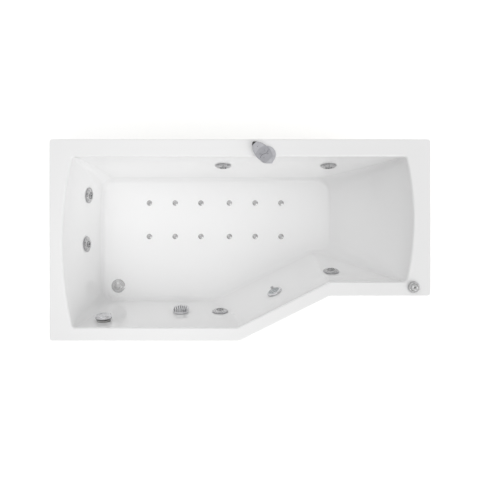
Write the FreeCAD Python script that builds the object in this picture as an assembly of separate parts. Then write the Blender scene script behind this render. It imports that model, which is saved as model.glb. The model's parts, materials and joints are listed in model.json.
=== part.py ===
import FreeCAD
import Part
import math
import os
from types import SimpleNamespace

from FreeCAD import Placement, Rotation, Vector

# Asymmetric spa bath. Millimetres, +Z up, origin on the floor under the middle of the rim's box.
# Left is the foot end with the waste, right is the sloping backrest, back is the straight long side.

# Rim outline
LENGTH = 1700.0
WIDTH = 900.0
NARROW_WIDTH = WIDTH * 7 / 9
SLANT_START = 0.5 * LENGTH
SLANT_END_FROM_RIGHT = 450.0
RIM_HEIGHT = 600.0
SHELL_WALL = 6.0
LIP_HEIGHT = 40.0
RIM_CORNER = 14.0
RIM_SLANT_CORNER = 40.0
RIM_OUTER_ROUND = 5.0
RIM_INNER_ROUND = 8.0

# Rim widths from the outer edge to the basin mouth
RIM_BACK = 78.0
RIM_FRONT = 59.0
RIM_SLANT = 57.0
RIM_NARROW = 64.0
RIM_LEFT = 102.0
RIM_RIGHT = 108.0

# Basin: how far each wall moves in at the floor, and how strongly it curves on the way down
FLOOR_HEIGHT = 180.0
BASIN_DEPTH = RIM_HEIGHT - FLOOR_HEIGHT
BACK_DRAFT = 57.0
BACK_CURVE = 1.4
FRONT_DRAFT = 79.0
FRONT_CURVE = 1.15
LEFT_DRAFT = 43.0
LEFT_CURVE = 1.1
RIGHT_DRAFT = 283.0
RIGHT_CURVE = 1.55
SLANT_DRAFT = 128.0
SLANT_CURVE = 1.55
NARROW_DRAFT = 123.0
NARROW_CURVE = 1.5
LEFT_BOW_RIM = 45.0
LEFT_BOW_FLOOR = 12.0
RIGHT_BOW_RIM = 32.0
RIGHT_BOW_FLOOR = 5.0
MOUTH_CORNER = 14.0
FLOOR_CORNER = 70.0
SLANT_MOUTH_CORNER = 20.0
SLANT_FLOOR_CORNER = 60.0
FLOOR_ROUND = 0.06 * BASIN_DEPTH
BASIN_SECTIONS = 5

# Clearances
SEAL_GAP = 0.7
THREAD_GAP = 0.3
HOLE_GAP = 0.5
SEAT_GAP = 0.3
RUNNING_GAP = 0.05
HOSE_GAP = 0.2

# Steel frame under the bath
TUBE = 25.0
TUBE_WALL = 2.0
BOARD_THICKNESS = 15.0
BOARD_INSET = 50.0
BOARD_FROM_LEFT = 275.0
CROSS_RAIL_FROM_LEFT = 290.0
CROSS_RAIL_FROM_RIGHT = 550.0
LONG_RAIL_FROM_BACK = 120.0
LONG_RAIL_FROM_NARROW_FRONT = 130.0
LONG_RAIL_FROM_LEFT = 250.0
UPRIGHT_LIP_GAP = 3.0
RIM_PAD_THICKNESS = 8.0
RIM_PAD_WIDTH = 32.0

# Adjustable feet
FOOT_PAD_RADIUS = 30.0
FOOT_PAD_HEIGHT = 14.0
FOOT_PAD_EDGE = 5.0
FOOT_STUD_RADIUS = 6.0
FOOT_STUD_INTO_RAIL = 6.0
FOOT_NUT_FLATS = 19.0
FOOT_NUT_HEIGHT = 10.0
FOOT_FROM_RAIL_END = 55.0

# Equipment shelf under the backrest
SHELF_THICKNESS = 15.0
SHELF_LENGTH = 345.0
SHELF_FROM_RIGHT = 50.0
SHELF_FROM_BACK = 30.0
SHELF_FROM_NARROW_FRONT = 110.0

# Wall fittings: seals, nuts and hose spigots
SEAL_THICKNESS = 1.6
SEAL_WIDTH = 8.0
NUT_HEIGHT = 8.0
NUT_WALL = 6.0
SPIGOT_RADIUS = 12.8
SPIGOT_WALL = 2.8
SPIGOT_LENGTH = 19.0
WATER_HOSE_WALL = 3.0
AIR_SPIGOT_RADIUS = 3.8
AIR_SPIGOT_WALL = 1.3
AIR_HOSE_WALL = 2.5
HOSE_START_GAP = 2.0
STRAIGHT_ENOUGH = 0.001

# Hose lanes: straight leads at the fittings; on the slanted wall as share along, share down, distance behind
SHORT_LEAD = 62.0
LONG_LEAD = 100.0
LANE_RISE = 20.0
END_LANE_FROM_RIGHT = 68.0
SLANT_WATER_LANE = ((0.805, 0.607, 38.0), (0.268, 0.667, 38.0))
SLANT_AIR_LANE = ((0.771, 0.488, 42.0), (0.537, 0.505, 66.0), (0.246, 0.548, 46.0))
SUCTION_LANE_BEHIND = 50.0
SUCTION_LANE_BEFORE_SLANT = 100.0
SUCTION_LANE_SLANT = (0.134, 0.85)
SUCTION_LANE_BEFORE_PUMP = 140.0
SUCTION_LANE_FRONT_OF_PUMP = 135.0
BLOWER_DROP_FROM_SHELF_EDGE = 70.0

# Water jets
JET_BEZEL_RADIUS = 38.0
JET_BEZEL_HEIGHT = 8.5
JET_BEZEL_EDGE = 2.0
JET_TAIL_RADIUS = 22.0
JET_TAIL_LENGTH = 22.0
JET_MOUTH_RADIUS = 12.6
JET_BALL_RADIUS = 18.0
JET_SPOUT_RADIUS = 8.0
JET_SPOUT_LENGTH = 17.6
JET_SPOUT_BORE = 5.0
JET_BODY_RADIUS = 27.0
JET_BODY_LENGTH = 41.0
JET_BODY_BACK = 4.0
JET_PORT_DEPTH = 30.0
JET_AIR_HEIGHT = 36.0
JET_AIR_STUB_BORE = 2.0
JET_THROAT_PORT = 5.0
BACK_JETS_FROM_RIGHT = (428.0, 930.0)
BACK_JET_DEPTH = 0.417 * BASIN_DEPTH
LEFT_JETS_FROM_BACK = (232.0, 471.0)
LEFT_JET_DEPTH = 0.583 * BASIN_DEPTH
NARROW_JET_FROM_RIGHT = 415.0
NARROW_JET_DEPTH = 0.429 * BASIN_DEPTH
FRONT_JET_BEFORE_SLANT = 97.0
FRONT_JET_DEPTH = 0.571 * BASIN_DEPTH

# Suction fitting
SUCTION_BEFORE_SLANT = 288.0
SUCTION_DEPTH = 0.56 * BASIN_DEPTH
SUCTION_COVER_RADIUS = 39.0
SUCTION_COVER_HEIGHT = 33.0
SUCTION_SKIRT_HEIGHT = 21.0
SUCTION_COVER_WALL = 2.5
SUCTION_SLOTS = 7
SUCTION_SLOT_WIDTH = 4.0
SUCTION_SLOT_PITCH = 9.0
SUCTION_SLOT_ABOVE_WALL = 9.0
SUCTION_BAND_WIDTH = 8.0
SUCTION_FLANGE_RADIUS = 36.0
SUCTION_FLANGE_HEIGHT = 3.0
SUCTION_TAIL_RADIUS = 26.0
SUCTION_BODY_RADIUS = 30.0
SUCTION_BODY_LENGTH = 53.0
SUCTION_SPIGOT_RADIUS = 19.8
SUCTION_SPIGOT_WALL = 3.0
SUCTION_SPIGOT_LENGTH = 28.0
SUCTION_HOSE_WALL = 4.0
SUCTION_HOSE_ABOVE_FLOOR = 45.0

# Overflow
OVERFLOW_DEPTH = 0.262 * BASIN_DEPTH
OVERFLOW_KNOB_RADIUS = 37.0
OVERFLOW_KNOB_HEIGHT = 18.0
OVERFLOW_KNOB_WALL = 3.0
OVERFLOW_KNOB_OFF_WALL = 9.0
OVERFLOW_KNOB_ROUND = 6.0
OVERFLOW_FLANGE_RADIUS = 32.0
OVERFLOW_FLANGE_HEIGHT = 2.5
OVERFLOW_TAIL_RADIUS = 24.0
OVERFLOW_TAIL_WALL = 4.0
OVERFLOW_BODY_RADIUS = 29.0
OVERFLOW_BODY_LENGTH = 37.0
OVERFLOW_SPINDLE_RADIUS = 5.0
OVERFLOW_HUB_WALL = 3.0
OVERFLOW_HUB_LENGTH = 14.0
SPOKE_WIDTH = 4.0

# Waste
DRAIN_FROM_LEFT = 217.0
DRAIN_FROM_FRONT = 211.0
WASTE_FLANGE_RADIUS = 35.0
WASTE_FLANGE_HEIGHT = 4.0
WASTE_FLANGE_EDGE = 1.5
WASTE_TAIL_RADIUS = 24.0
WASTE_TAIL_LENGTH = 34.0
WASTE_BORE = 18.5
WASTE_RECESS_DEPTH = 2.8
PLUG_RADIUS = 21.0
PLUG_HEIGHT = 6.5
PLUG_EDGE = 3.0
PLUG_STEM_RADIUS = 4.0
WASTE_BODY_RADIUS = 31.0
WASTE_BODY_LENGTH = 62.0
WASTE_INLET_DEPTH = 46.0
WASTE_HUB_WALL = 4.0
WASTE_HUB_LENGTH = 10.0
DIP_TUBE_WALL = 3.0
DIP_TUBE_LENGTH = 46.0
TRAP_RADIUS = 38.0
TRAP_LENGTH = 66.0
TRAP_WALL = 3.0
TRAP_NECK_WALL = 5.0
TRAP_NECK_LENGTH = 13.0
OUTLET_RADIUS = 20.0
OUTLET_WALL = 3.0
OUTLET_LENGTH = 52.0
OUTLET_COLLAR_RADIUS = 24.0
OUTLET_COLLAR_LENGTH = 10.0
OUTLET_BELOW_NECK = 28.0
CABLE_RADIUS = 3.0
CABLE_BESIDE = 22.0
GLAND_RADIUS = 6.0
GLAND_LENGTH = 20.0

# Air jets in the floor
AIR_JET_FROM_LEFT = 379.0
AIR_JET_FROM_RIGHT = 637.0
AIR_JET_MIDDLE_EXTRA = 14.0
AIR_JETS_PER_GROUP = 3
AIR_JET_ROWS_FROM_BACK = (0.3686 * NARROW_WIDTH, 0.6171 * NARROW_WIDTH)
AIR_CAP_RADIUS = 14.0
AIR_CAP_HEIGHT = 4.5
AIR_CAP_EDGE = 1.5
AIR_CAP_STEM_RADIUS = 6.0
AIR_CAP_STEM_LENGTH = 12.0
AIR_CAP_HOLE_RADIUS = 0.8
AIR_CAP_HOLES = 6
AIR_BODY_WALL = 2.2
AIR_COLLAR_RADIUS = 18.0
AIR_COLLAR_HEIGHT = 8.0
AIR_TAIL_RADIUS = 7.0
AIR_TAIL_BORE = 4.0
AIR_TAIL_INTO_PIPE = 5.0
BOARD_HOLE_GAP = 2.0
MANIFOLD_RADIUS = 12.5
MANIFOLD_WALL = 2.5
MANIFOLD_BELOW_RAIL = 4.0
MANIFOLD_END = 22.0
MANIFOLD_CROSS_RADIUS = 18.0
MANIFOLD_CROSS_AFTER_LAST = 130.0

# Pump under the backrest
PUMP_FROM_RIGHT = 100.0
PUMP_FROM_NARROW_FRONT = 190.0
PUMP_AXIS_ABOVE_SHELF = 88.0
VOLUTE_RADIUS = 78.0
VOLUTE_LENGTH = 65.0
VOLUTE_WALL = 8.0
DISCHARGE_SPIGOT_LENGTH = 34.0
MOTOR_RADIUS = 60.0
MOTOR_LENGTH = 200.0
MOTOR_WALL = 5.0
MOTOR_FINS = 18
MOTOR_FIN_HEIGHT = 6.0
MOTOR_FIN_WIDTH = 3.0
MOTOR_FOOT_LENGTH = 130.0
MOTOR_FOOT_WIDTH = 130.0
MOTOR_FOOT_THICKNESS = 8.0
MOTOR_WEB_WIDTH = 70.0
ROTOR_SHAFT_RADIUS = 8.0
ROTOR_CORE_RADIUS = 42.0
ROTOR_CORE_LENGTH = 100.0
IMPELLER_RADIUS = 60.0
IMPELLER_DISC = 5.0
IMPELLER_VANES = 6
IMPELLER_VANE_HEIGHT = 14.0
IMPELLER_VANE_WIDTH = 4.0
TEE_RADIUS = 25.0
TEE_TOP_WALL = 5.0

# Blower under the backrest
BLOWER_FROM_RIGHT = 145.0
BLOWER_FROM_BACK = 130.0
BLOWER_RADIUS = 80.0
BLOWER_HEIGHT = 140.0
BLOWER_WALL = 4.0
BLOWER_INTAKE_RADIUS = 34.0
BLOWER_OUTLET_OFFSET = 60.0
BLOWER_OUTLET_HEIGHT = 41.0
BLOWER_SPIGOT_RADIUS = 15.8
BLOWER_SPIGOT_WALL = 2.8
BLOWER_SPIGOT_LENGTH = 26.0
BLOWER_HOSE_WALL = 3.0
FAN_RADIUS = 66.0
FAN_DISC = 4.0
FAN_BLADES = 16
FAN_BLADE_HEIGHT = 40.0
FAN_BLADE_LENGTH = 24.0
FAN_BLADE_WIDTH = 3.0
FAN_SHAFT_RADIUS = 6.0
FAN_BEARING_WALL = 8.0
FAN_BEARING_HEIGHT = 40.0

# Control box
BOX_LENGTH = 140.0
BOX_WIDTH = 80.0
BOX_HEIGHT = 95.0
BOX_WALL = 3.0
BOX_ROUND = 6.0
BOX_FROM_SHELF_EDGE = 5.0
CABLE_GLAND_RADIUS = 9.0
CABLE_GLAND_LENGTH = 16.0
CABLE_GLAND_BORE = 5.0

# Underwater light and level sensor in the slanted wall
LIGHT_ALONG_SHARE = 0.532
LIGHT_DEPTH = 0.505 * BASIN_DEPTH
LIGHT_BEZEL_RADIUS = 36.5
LIGHT_BEZEL_HEIGHT = 7.0
LIGHT_BEZEL_EDGE = 2.5
LIGHT_TAIL_RADIUS = 26.0
LIGHT_TAIL_WALL = 3.0
LIGHT_TAIL_LENGTH = 18.0
LIGHT_LENS_RADIUS = 28.0
LIGHT_LENS_HEIGHT = 18.0
LIGHT_LENS_RIBS = 7
LIGHT_RIB_WIDTH = 3.0
LIGHT_RIB_PITCH = 7.0
LIGHT_GROOVE_ABOVE_BEZEL = 2.0
LIGHT_LAMP_LENGTH = 34.0
SENSOR_BELOW_LIGHT = 55.0
SENSOR_HEAD_RADIUS = 7.0
SENSOR_HEAD_HEIGHT = 6.0
SENSOR_STEM_RADIUS = 3.5
SENSOR_STEM_LENGTH = 10.0

# Air dial on the rim's narrow corner
AIR_DIAL_FROM_RIGHT = 77.0
AIR_DIAL_FROM_NARROW_FRONT = 40.0
AIR_DIAL_RADIUS = 25.5
AIR_DIAL_HEIGHT = 15.0
AIR_DIAL_STEP_RADIUS = 17.0
AIR_DIAL_STEP_HEIGHT = 5.0
AIR_DIAL_SPINDLE_RADIUS = 5.0
AIR_DIAL_SPINDLE_LENGTH = 16.0
AIR_BODY_FLANGE_RADIUS = 24.0
AIR_BODY_FLANGE_HEIGHT = 3.5
AIR_BODY_TAIL_RADIUS = 15.0
AIR_BODY_LENGTH = 54.0
AIR_BODY_PORT_DEPTH = 40.0

# Hand control and its cradle on the back rim
REMOTE_FROM_RIGHT = 750.0
REMOTE_FROM_BACK = 63.0
REMOTE_TURN = 133.0
REMOTE_HALF_LENGTH = 64.0
REMOTE_HALF_WIDTH = 33.0
REMOTE_TIP_RADIUS = 9.0
REMOTE_THICKNESS = 20.0
REMOTE_TOP_ROUND = 6.0
REMOTE_BOTTOM_ROUND = 3.0
KEYPAD_FROM = -44.0
KEYPAD_TO = 22.0
KEYPAD_ARC = 70.0
KEYPAD_DEPTH = 8.0
KEYPAD_GAP = 0.15
WINDOW_FROM = 53.0
KEY_RADIUS = 6.0
KEY_GAP = 0.3
KEY_PROUD = 1.2
KEY_TRAVEL = 1.2
KEY_LENGTH = 5.0
KEY_STEP_ALONG = 22.0
KEY_STEP_ACROSS = 24.0
KEYS_CENTRE = -10.0
CRADLE_RADIUS = 39.0
CRADLE_HEIGHT = 14.0
CRADLE_FLOOR = 7.0
CRADLE_ALONG = -20.0
CRADLE_ACROSS = -9.0
CRADLE_ROUND = 3.0
CRADLE_STEM_RADIUS = 7.0
CRADLE_STEM_LENGTH = 26.0
CRADLE_STEM_FROM_BACK = 46.0

# Places worked out from the sizes above
LEFT = -LENGTH / 2
RIGHT = LENGTH / 2
BACK = WIDTH / 2
FRONT = -WIDTH / 2
NARROW_FRONT = BACK - NARROW_WIDTH
SLANT_A = Vector(LEFT + SLANT_START, FRONT, 0)
SLANT_B = Vector(RIGHT - SLANT_END_FROM_RIGHT, NARROW_FRONT, 0)
SLANT_LENGTH = SLANT_A.distanceToPoint(SLANT_B)
SLANT_ALONG = (SLANT_B - SLANT_A).normalize()
SLANT_INWARD = Vector(-SLANT_ALONG.y, SLANT_ALONG.x, 0)
SHELL_BOTTOM = FLOOR_HEIGHT - SHELL_WALL
BOARD_BOTTOM = SHELL_BOTTOM - BOARD_THICKNESS
CROSS_BOTTOM = BOARD_BOTTOM - TUBE
LONG_BOTTOM = CROSS_BOTTOM - TUBE
SHELF_TOP = CROSS_BOTTOM + SHELF_THICKNESS
SHELF_RIGHT = RIGHT - SHELF_FROM_RIGHT
SHELF_LEFT = SHELF_RIGHT - SHELF_LENGTH
SHELF_BACK = BACK - SHELF_FROM_BACK
LONG_RAIL_YS = (BACK - LONG_RAIL_FROM_BACK, NARROW_FRONT + LONG_RAIL_FROM_NARROW_FRONT)
FIRST_CROSS_X = LEFT + CROSS_RAIL_FROM_LEFT
LAST_CROSS_X = RIGHT - CROSS_RAIL_FROM_RIGHT
CROSS_RAIL_XS = (FIRST_CROSS_X, (FIRST_CROSS_X + LAST_CROSS_X) / 2, LAST_CROSS_X)
UPRIGHT_INSET = SHELL_WALL + UPRIGHT_LIP_GAP + TUBE / 2
END_UPRIGHT_X = RIGHT - UPRIGHT_INSET
UPRIGHT_TOP = RIM_HEIGHT - SHELL_WALL - RIM_PAD_THICKNESS
FLANGE_SEAT = SEAL_GAP + SEAL_THICKNESS
DRAIN = Vector(LEFT + DRAIN_FROM_LEFT, FRONT + DRAIN_FROM_FRONT, FLOOR_HEIGHT)
PUMP_X = RIGHT - PUMP_FROM_RIGHT
PUMP_Y = NARROW_FRONT + PUMP_FROM_NARROW_FRONT
PUMP_Z = SHELF_TOP + PUMP_AXIS_ABOVE_SHELF
DISCHARGE_Y = PUMP_Y + VOLUTE_LENGTH / 2
TEE_Z = PUMP_Z + VOLUTE_RADIUS + DISCHARGE_SPIGOT_LENGTH + SPIGOT_RADIUS + TEE_TOP_WALL
MANIFOLD_Z = LONG_BOTTOM - MANIFOLD_BELOW_RAIL
BLOWER = Vector(RIGHT - BLOWER_FROM_RIGHT, BACK - BLOWER_FROM_BACK, SHELF_TOP)
AIR_DIAL = Vector(RIGHT - AIR_DIAL_FROM_RIGHT, NARROW_FRONT + AIR_DIAL_FROM_NARROW_FRONT, RIM_HEIGHT)
REMOTE = Placement(Vector(RIGHT - REMOTE_FROM_RIGHT, BACK - REMOTE_FROM_BACK, RIM_HEIGHT),
                   Rotation(Vector(0, 0, 1), REMOTE_TURN))
UP = Vector(0, 0, 1)


# Shape helpers


def cylinder(radius, start, end):
    run = end - start
    return Part.makeCylinder(radius, run.Length, start, run)


def disc(radius, low, high):
    return cylinder(radius, Vector(0, 0, low), Vector(0, 0, high))


def ring(radius, bore, low, high):
    return disc(radius, low, high).cut(disc(bore, low, high))


def block(low, high):
    size = high - low
    return Part.makeBox(size.x, size.y, size.z, low)


def fused(shapes):
    return shapes[0].multiFuse(list(shapes[1:])).removeSplitter()


def placed(shape, frame):
    moved = shape.copy()
    moved.Placement = frame.multiply(moved.Placement)
    return moved


def turned(profile):
    """Solid turned about Z; the profile is a list of (radius, height), three-item entries bend an arc."""
    edges = []
    points = [Vector(entry[0], 0, entry[1]) for entry in profile]
    for index, point in enumerate(points):
        following = points[(index + 1) % len(points)]
        if len(profile[index]) == 3:
            middle = Vector(profile[index][2][0], 0, profile[index][2][1])
            edges.append(Part.Arc(point, middle, following).toShape())
        else:
            edges.append(Part.LineSegment(point, following).toShape())
    return Part.Face(Part.Wire(edges)).revolve(Vector(0, 0, 0), UP, 360)


def dome_middle(radius, low, high):
    """Point halfway along the arc of a ball-shaped cap, from its rim to its crown."""
    rise = high - low
    ball = (radius ** 2 + rise ** 2) / (2 * rise)
    half = math.asin(radius / ball) / 2
    return ball * math.sin(half), high - ball + ball * math.cos(half)


def hexagon(flats, bore, low, high):
    corner = flats / 2 / math.cos(math.pi / 6)
    points = [Vector(corner * math.cos(math.pi / 3 * k), corner * math.sin(math.pi / 3 * k), low)
              for k in range(7)]
    return Part.Face(Part.makePolygon(points)).extrude(UP * (high - low)).cut(disc(bore, low, high))


def spokes(count, width, inner, outer, low, high):
    arm = block(Vector(inner, -width / 2, low), Vector(outer, width / 2, high))
    return [placed(arm, Placement(Vector(), Rotation(UP, 360.0 * k / count))) for k in range(count)]


def corner_arc(before, corner, after, radius):
    """Start, middle and end of the arc that rounds a corner between two straight runs."""
    first = (before - corner).normalize()
    second = (after - corner).normalize()
    half = first.getAngle(second) / 2
    reach = radius / math.tan(half)
    middle = corner + (first + second).normalize() * (radius / math.sin(half) - radius)
    return corner + first * reach, middle, corner + second * reach


def rounded_polygon(points, radii):
    arcs = []
    for index, point in enumerate(points):
        arcs.append(corner_arc(points[index - 1], point, points[(index + 1) % len(points)], radii[index]))
    edges = []
    for index, arc in enumerate(arcs):
        edges.append(Part.Arc(*arc).toShape())
        edges.append(Part.LineSegment(arc[2], arcs[(index + 1) % len(arcs)][0]).toShape())
    return Part.Wire(edges)


def bent_path(points):
    """Straight runs joined by tangent arcs, each as large as its two runs allow."""
    edges = []
    start = points[0]
    for before, corner, after in zip(points, points[1:], points[2:]):
        shorter = min((corner - before).Length, (after - corner).Length)
        turn = (corner - before).getAngle(after - corner)
        if turn < STRAIGHT_ENOUGH:
            continue
        arc = corner_arc(before, corner, after, 0.45 * shorter / math.tan(turn / 2))
        edges.append(Part.LineSegment(start, arc[0]).toShape())
        edges.append(Part.Arc(*arc).toShape())
        start = arc[2]
    edges.append(Part.LineSegment(start, points[-1]).toShape())
    return Part.Wire(edges)


def swept(points, radius):
    path = bent_path(points)
    circle = Part.Wire(Part.makeCircle(radius, points[0], points[1] - points[0]))
    return path.makePipeShell([circle], True, False)


def hose(points, spigot_radius, wall):
    bore = spigot_radius + HOSE_GAP
    return swept(points, bore + wall).cut(swept(points, bore))


# Basin walls


def inset(draft, curve, depth):
    return draft * (depth / BASIN_DEPTH) ** curve


def basin_sides(depth, grow=0.0):
    """Lines of the six walls at a depth below the rim, moved outward by grow."""
    share = depth / BASIN_DEPTH
    return SimpleNamespace(
        back=BACK - RIM_BACK - inset(BACK_DRAFT, BACK_CURVE, depth) + grow,
        front=FRONT + RIM_FRONT + inset(FRONT_DRAFT, FRONT_CURVE, depth) - grow,
        narrow=NARROW_FRONT + RIM_NARROW + inset(NARROW_DRAFT, NARROW_CURVE, depth) - grow,
        left=LEFT + RIM_LEFT + inset(LEFT_DRAFT, LEFT_CURVE, depth) - grow,
        right=RIGHT - RIM_RIGHT - inset(RIGHT_DRAFT, RIGHT_CURVE, depth) + grow,
        slant=SLANT_A + SLANT_INWARD * (RIM_SLANT + inset(SLANT_DRAFT, SLANT_CURVE, depth) - grow),
        left_bow=LEFT_BOW_RIM + (LEFT_BOW_FLOOR - LEFT_BOW_RIM) * share,
        right_bow=RIGHT_BOW_RIM + (RIGHT_BOW_FLOOR - RIGHT_BOW_RIM) * share,
        corner=MOUTH_CORNER + (FLOOR_CORNER - MOUTH_CORNER) * share + grow,
        slant_corner=SLANT_MOUTH_CORNER + (SLANT_FLOOR_CORNER - SLANT_MOUTH_CORNER) * share,
    )


def bow_circle(x, high, low, bow, outward):
    """Centre and radius of an end wall's arc that bulges by bow between its two corners."""
    half = (high - low) / 2
    radius = (half ** 2 + bow ** 2) / (2 * bow)
    return Vector(x + outward * (bow - radius), (high + low) / 2, 0), radius


def bow_corner(centre, radius, line, inward, outward, corner):
    """Arc that rounds the corner between a straight wall and a bowed end wall."""
    middle_y = line + inward * corner
    reach = math.sqrt((radius - corner) ** 2 - (middle_y - centre.y) ** 2)
    middle = Vector(centre.x + outward * reach, middle_y, 0)
    on_line = Vector(middle.x, line, 0)
    on_bow = centre + (middle - centre) * (radius / (radius - corner))
    crown = middle + ((on_line - middle) + (on_bow - middle)).normalize() * corner
    return on_line, crown, on_bow


def slant_crossing(sides, y):
    return sides.slant + SLANT_ALONG * ((y - sides.slant.y) / SLANT_ALONG.y)


def basin_wire(depth, z, grow):
    sides = basin_sides(depth, grow)
    left_centre, left_radius = bow_circle(sides.left, sides.back, sides.front, sides.left_bow, -1)
    right_centre, right_radius = bow_circle(sides.right, sides.back, sides.narrow, sides.right_bow, 1)
    back_left = bow_corner(left_centre, left_radius, sides.back, -1, -1, sides.corner)
    back_right = bow_corner(right_centre, right_radius, sides.back, -1, 1, sides.corner)
    narrow_right = bow_corner(right_centre, right_radius, sides.narrow, 1, 1, sides.corner)
    front_left = bow_corner(left_centre, left_radius, sides.front, 1, -1, sides.corner)
    slant_low = slant_crossing(sides, sides.front)
    slant_high = slant_crossing(sides, sides.narrow)
    inner_bend = corner_arc(narrow_right[0], slant_high, slant_low, sides.slant_corner - grow)
    outer_bend = corner_arc(slant_high, slant_low, front_left[0], sides.slant_corner + grow)
    right_crown = right_centre + Vector(right_radius, 0, 0)
    left_crown = left_centre - Vector(left_radius, 0, 0)
    edges = [
        Part.LineSegment(back_left[0], back_right[0]),
        Part.Arc(*back_right),
        Part.Arc(back_right[2], right_crown, narrow_right[2]),
        Part.Arc(*reversed(narrow_right)),
        Part.LineSegment(narrow_right[0], inner_bend[0]),
        Part.Arc(*inner_bend),
        Part.LineSegment(inner_bend[2], outer_bend[0]),
        Part.Arc(*outer_bend),
        Part.LineSegment(outer_bend[2], front_left[0]),
        Part.Arc(*front_left),
        Part.Arc(front_left[2], left_crown, back_left[2]),
        Part.Arc(*reversed(back_left)),
    ]
    wire = Part.Wire([edge.toShape() for edge in edges])
    wire.translate(UP * z)
    return wire


def basin_solid(grow):
    """The basin's space, or with grow its outside, with the floor's edge rounded."""
    steps = [BASIN_DEPTH * k / (BASIN_SECTIONS - 1) for k in range(BASIN_SECTIONS)]
    stretch = (BASIN_DEPTH + grow) / BASIN_DEPTH
    wires = [basin_wire(depth, RIM_HEIGHT - depth * stretch, grow) for depth in steps]
    solid = Part.makeLoft(wires, True, False)
    bottom = RIM_HEIGHT - BASIN_DEPTH - grow
    floor_edges = [edge for edge in solid.Edges if edge.BoundBox.ZMax < bottom + SHELL_WALL / 2]
    return solid.makeFillet(FLOOR_ROUND + grow, floor_edges).Solids[0]


BASIN = basin_solid(0.0)
BASIN_OUTSIDE = basin_solid(SHELL_WALL)


def wall_point(wall, along, depth):
    sides = basin_sides(depth)
    if wall == "slant":
        point = sides.slant + SLANT_ALONG * along
    elif wall == "left":
        centre, radius = bow_circle(sides.left, sides.back, sides.front, sides.left_bow, -1)
        point = Vector(centre.x - math.sqrt(radius ** 2 - (along - centre.y) ** 2), along, 0)
    else:
        point = Vector(along, getattr(sides, wall), 0)
    return point + UP * (RIM_HEIGHT - depth)


def wall_frame(wall, along, depth):
    """Frame on a basin wall: Z points into the basin, Y up the wall."""
    across = wall_point(wall, along + 1, depth) - wall_point(wall, along - 1, depth)
    upward = wall_point(wall, along, depth - 1) - wall_point(wall, along, depth + 1)
    inward = across.cross(upward).normalize()
    point = wall_point(wall, along, depth)
    if inward.dot(BASIN.CenterOfMass - point) < 0:
        inward = -inward
    return Placement(point, Rotation(upward.cross(inward), upward, inward, "ZYX"))


def behind(wall, along, depth, distance):
    frame = wall_frame(wall, along, depth)
    return frame.multVec(Vector(0, 0, -distance))


def wall_seat(wall, along, depth):
    """Frame seated on the real wall, and the wall's thickness there."""
    frame = wall_frame(wall, along, depth)
    probe_reach = 4 * SHELL_WALL
    outer_end = frame.multVec(Vector(0, 0, -probe_reach))
    probe = Part.makeLine(outer_end, frame.multVec(Vector(0, 0, probe_reach)))
    to_inside = min((vertex.Point - outer_end).Length for vertex in BASIN.common(probe).Vertexes)
    to_outside = min((vertex.Point - outer_end).Length for vertex in BASIN_OUTSIDE.common(probe).Vertexes)
    base = frame.multVec(Vector(0, 0, to_inside - probe_reach))
    return SimpleNamespace(frame=Placement(base, frame.Rotation), wall=to_inside - to_outside)


# Shell


def rim_outline():
    points = [Vector(LEFT, BACK, 0), Vector(RIGHT, BACK, 0), Vector(RIGHT, NARROW_FRONT, 0),
              SLANT_B, SLANT_A, Vector(LEFT, FRONT, 0)]
    radii = [RIM_CORNER, RIM_CORNER, RIM_CORNER, RIM_SLANT_CORNER, RIM_SLANT_CORNER, RIM_CORNER]
    return rounded_polygon(points, radii)


def rim_solid():
    outline = rim_outline()
    inner_outline = outline.makeOffset2D(-SHELL_WALL)
    outside = Part.Face(outline).extrude(UP * LIP_HEIGHT)
    inside = Part.Face(inner_outline).extrude(UP * (LIP_HEIGHT - SHELL_WALL))
    rim = outside.cut(inside)
    rim.translate(UP * (RIM_HEIGHT - LIP_HEIGHT))
    return rim


def rounded_shell():
    shell = rim_solid().fuse(BASIN_OUTSIDE).cut(BASIN).removeSplitter()
    outline = rim_outline()
    outline.translate(UP * RIM_HEIGHT)
    top_edges = [edge for edge in shell.Edges if edge.BoundBox.ZMin > RIM_HEIGHT - SHELL_WALL / 10]
    outer = [edge for edge in top_edges if edge.CenterOfMass.distanceToPoint(
        outline.distToShape(Part.Vertex(edge.CenterOfMass))[1][0][0]) < SHELL_WALL]
    inner = [edge for edge in top_edges if not any(edge.isSame(other) for other in outer)]
    return shell.makeFillet(RIM_INNER_ROUND, inner).makeFillet(RIM_OUTER_ROUND, outer)


def shell_hole(radius, frame):
    reach = 4 * SHELL_WALL
    return placed(disc(radius + HOLE_GAP, -reach, reach), frame)


# Shared parts of the wall fittings


def seal(tail_radius, frame):
    low = SEAL_GAP
    return placed(ring(tail_radius + SEAL_WIDTH, tail_radius + HOLE_GAP, low, low + SEAL_THICKNESS), frame)


def nut(tail_radius, seat):
    top = -(seat.wall + SEAT_GAP)
    flats = 2 * (tail_radius + NUT_WALL)
    return placed(hexagon(flats, tail_radius + THREAD_GAP, top - NUT_HEIGHT, top), seat.frame)


def behind_nut(seat):
    return -(seat.wall + 2 * SEAT_GAP + NUT_HEIGHT)


# Water jets


def jet_seats():
    seats = [wall_seat("back", RIGHT - x, BACK_JET_DEPTH) for x in BACK_JETS_FROM_RIGHT]
    seats += [wall_seat("left", BACK - y, LEFT_JET_DEPTH) for y in LEFT_JETS_FROM_BACK]
    seats.append(wall_seat("narrow", RIGHT - NARROW_JET_FROM_RIGHT, NARROW_JET_DEPTH))
    seats.append(wall_seat("front", SLANT_A.x - FRONT_JET_BEFORE_SLANT, FRONT_JET_DEPTH))
    return seats


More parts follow.
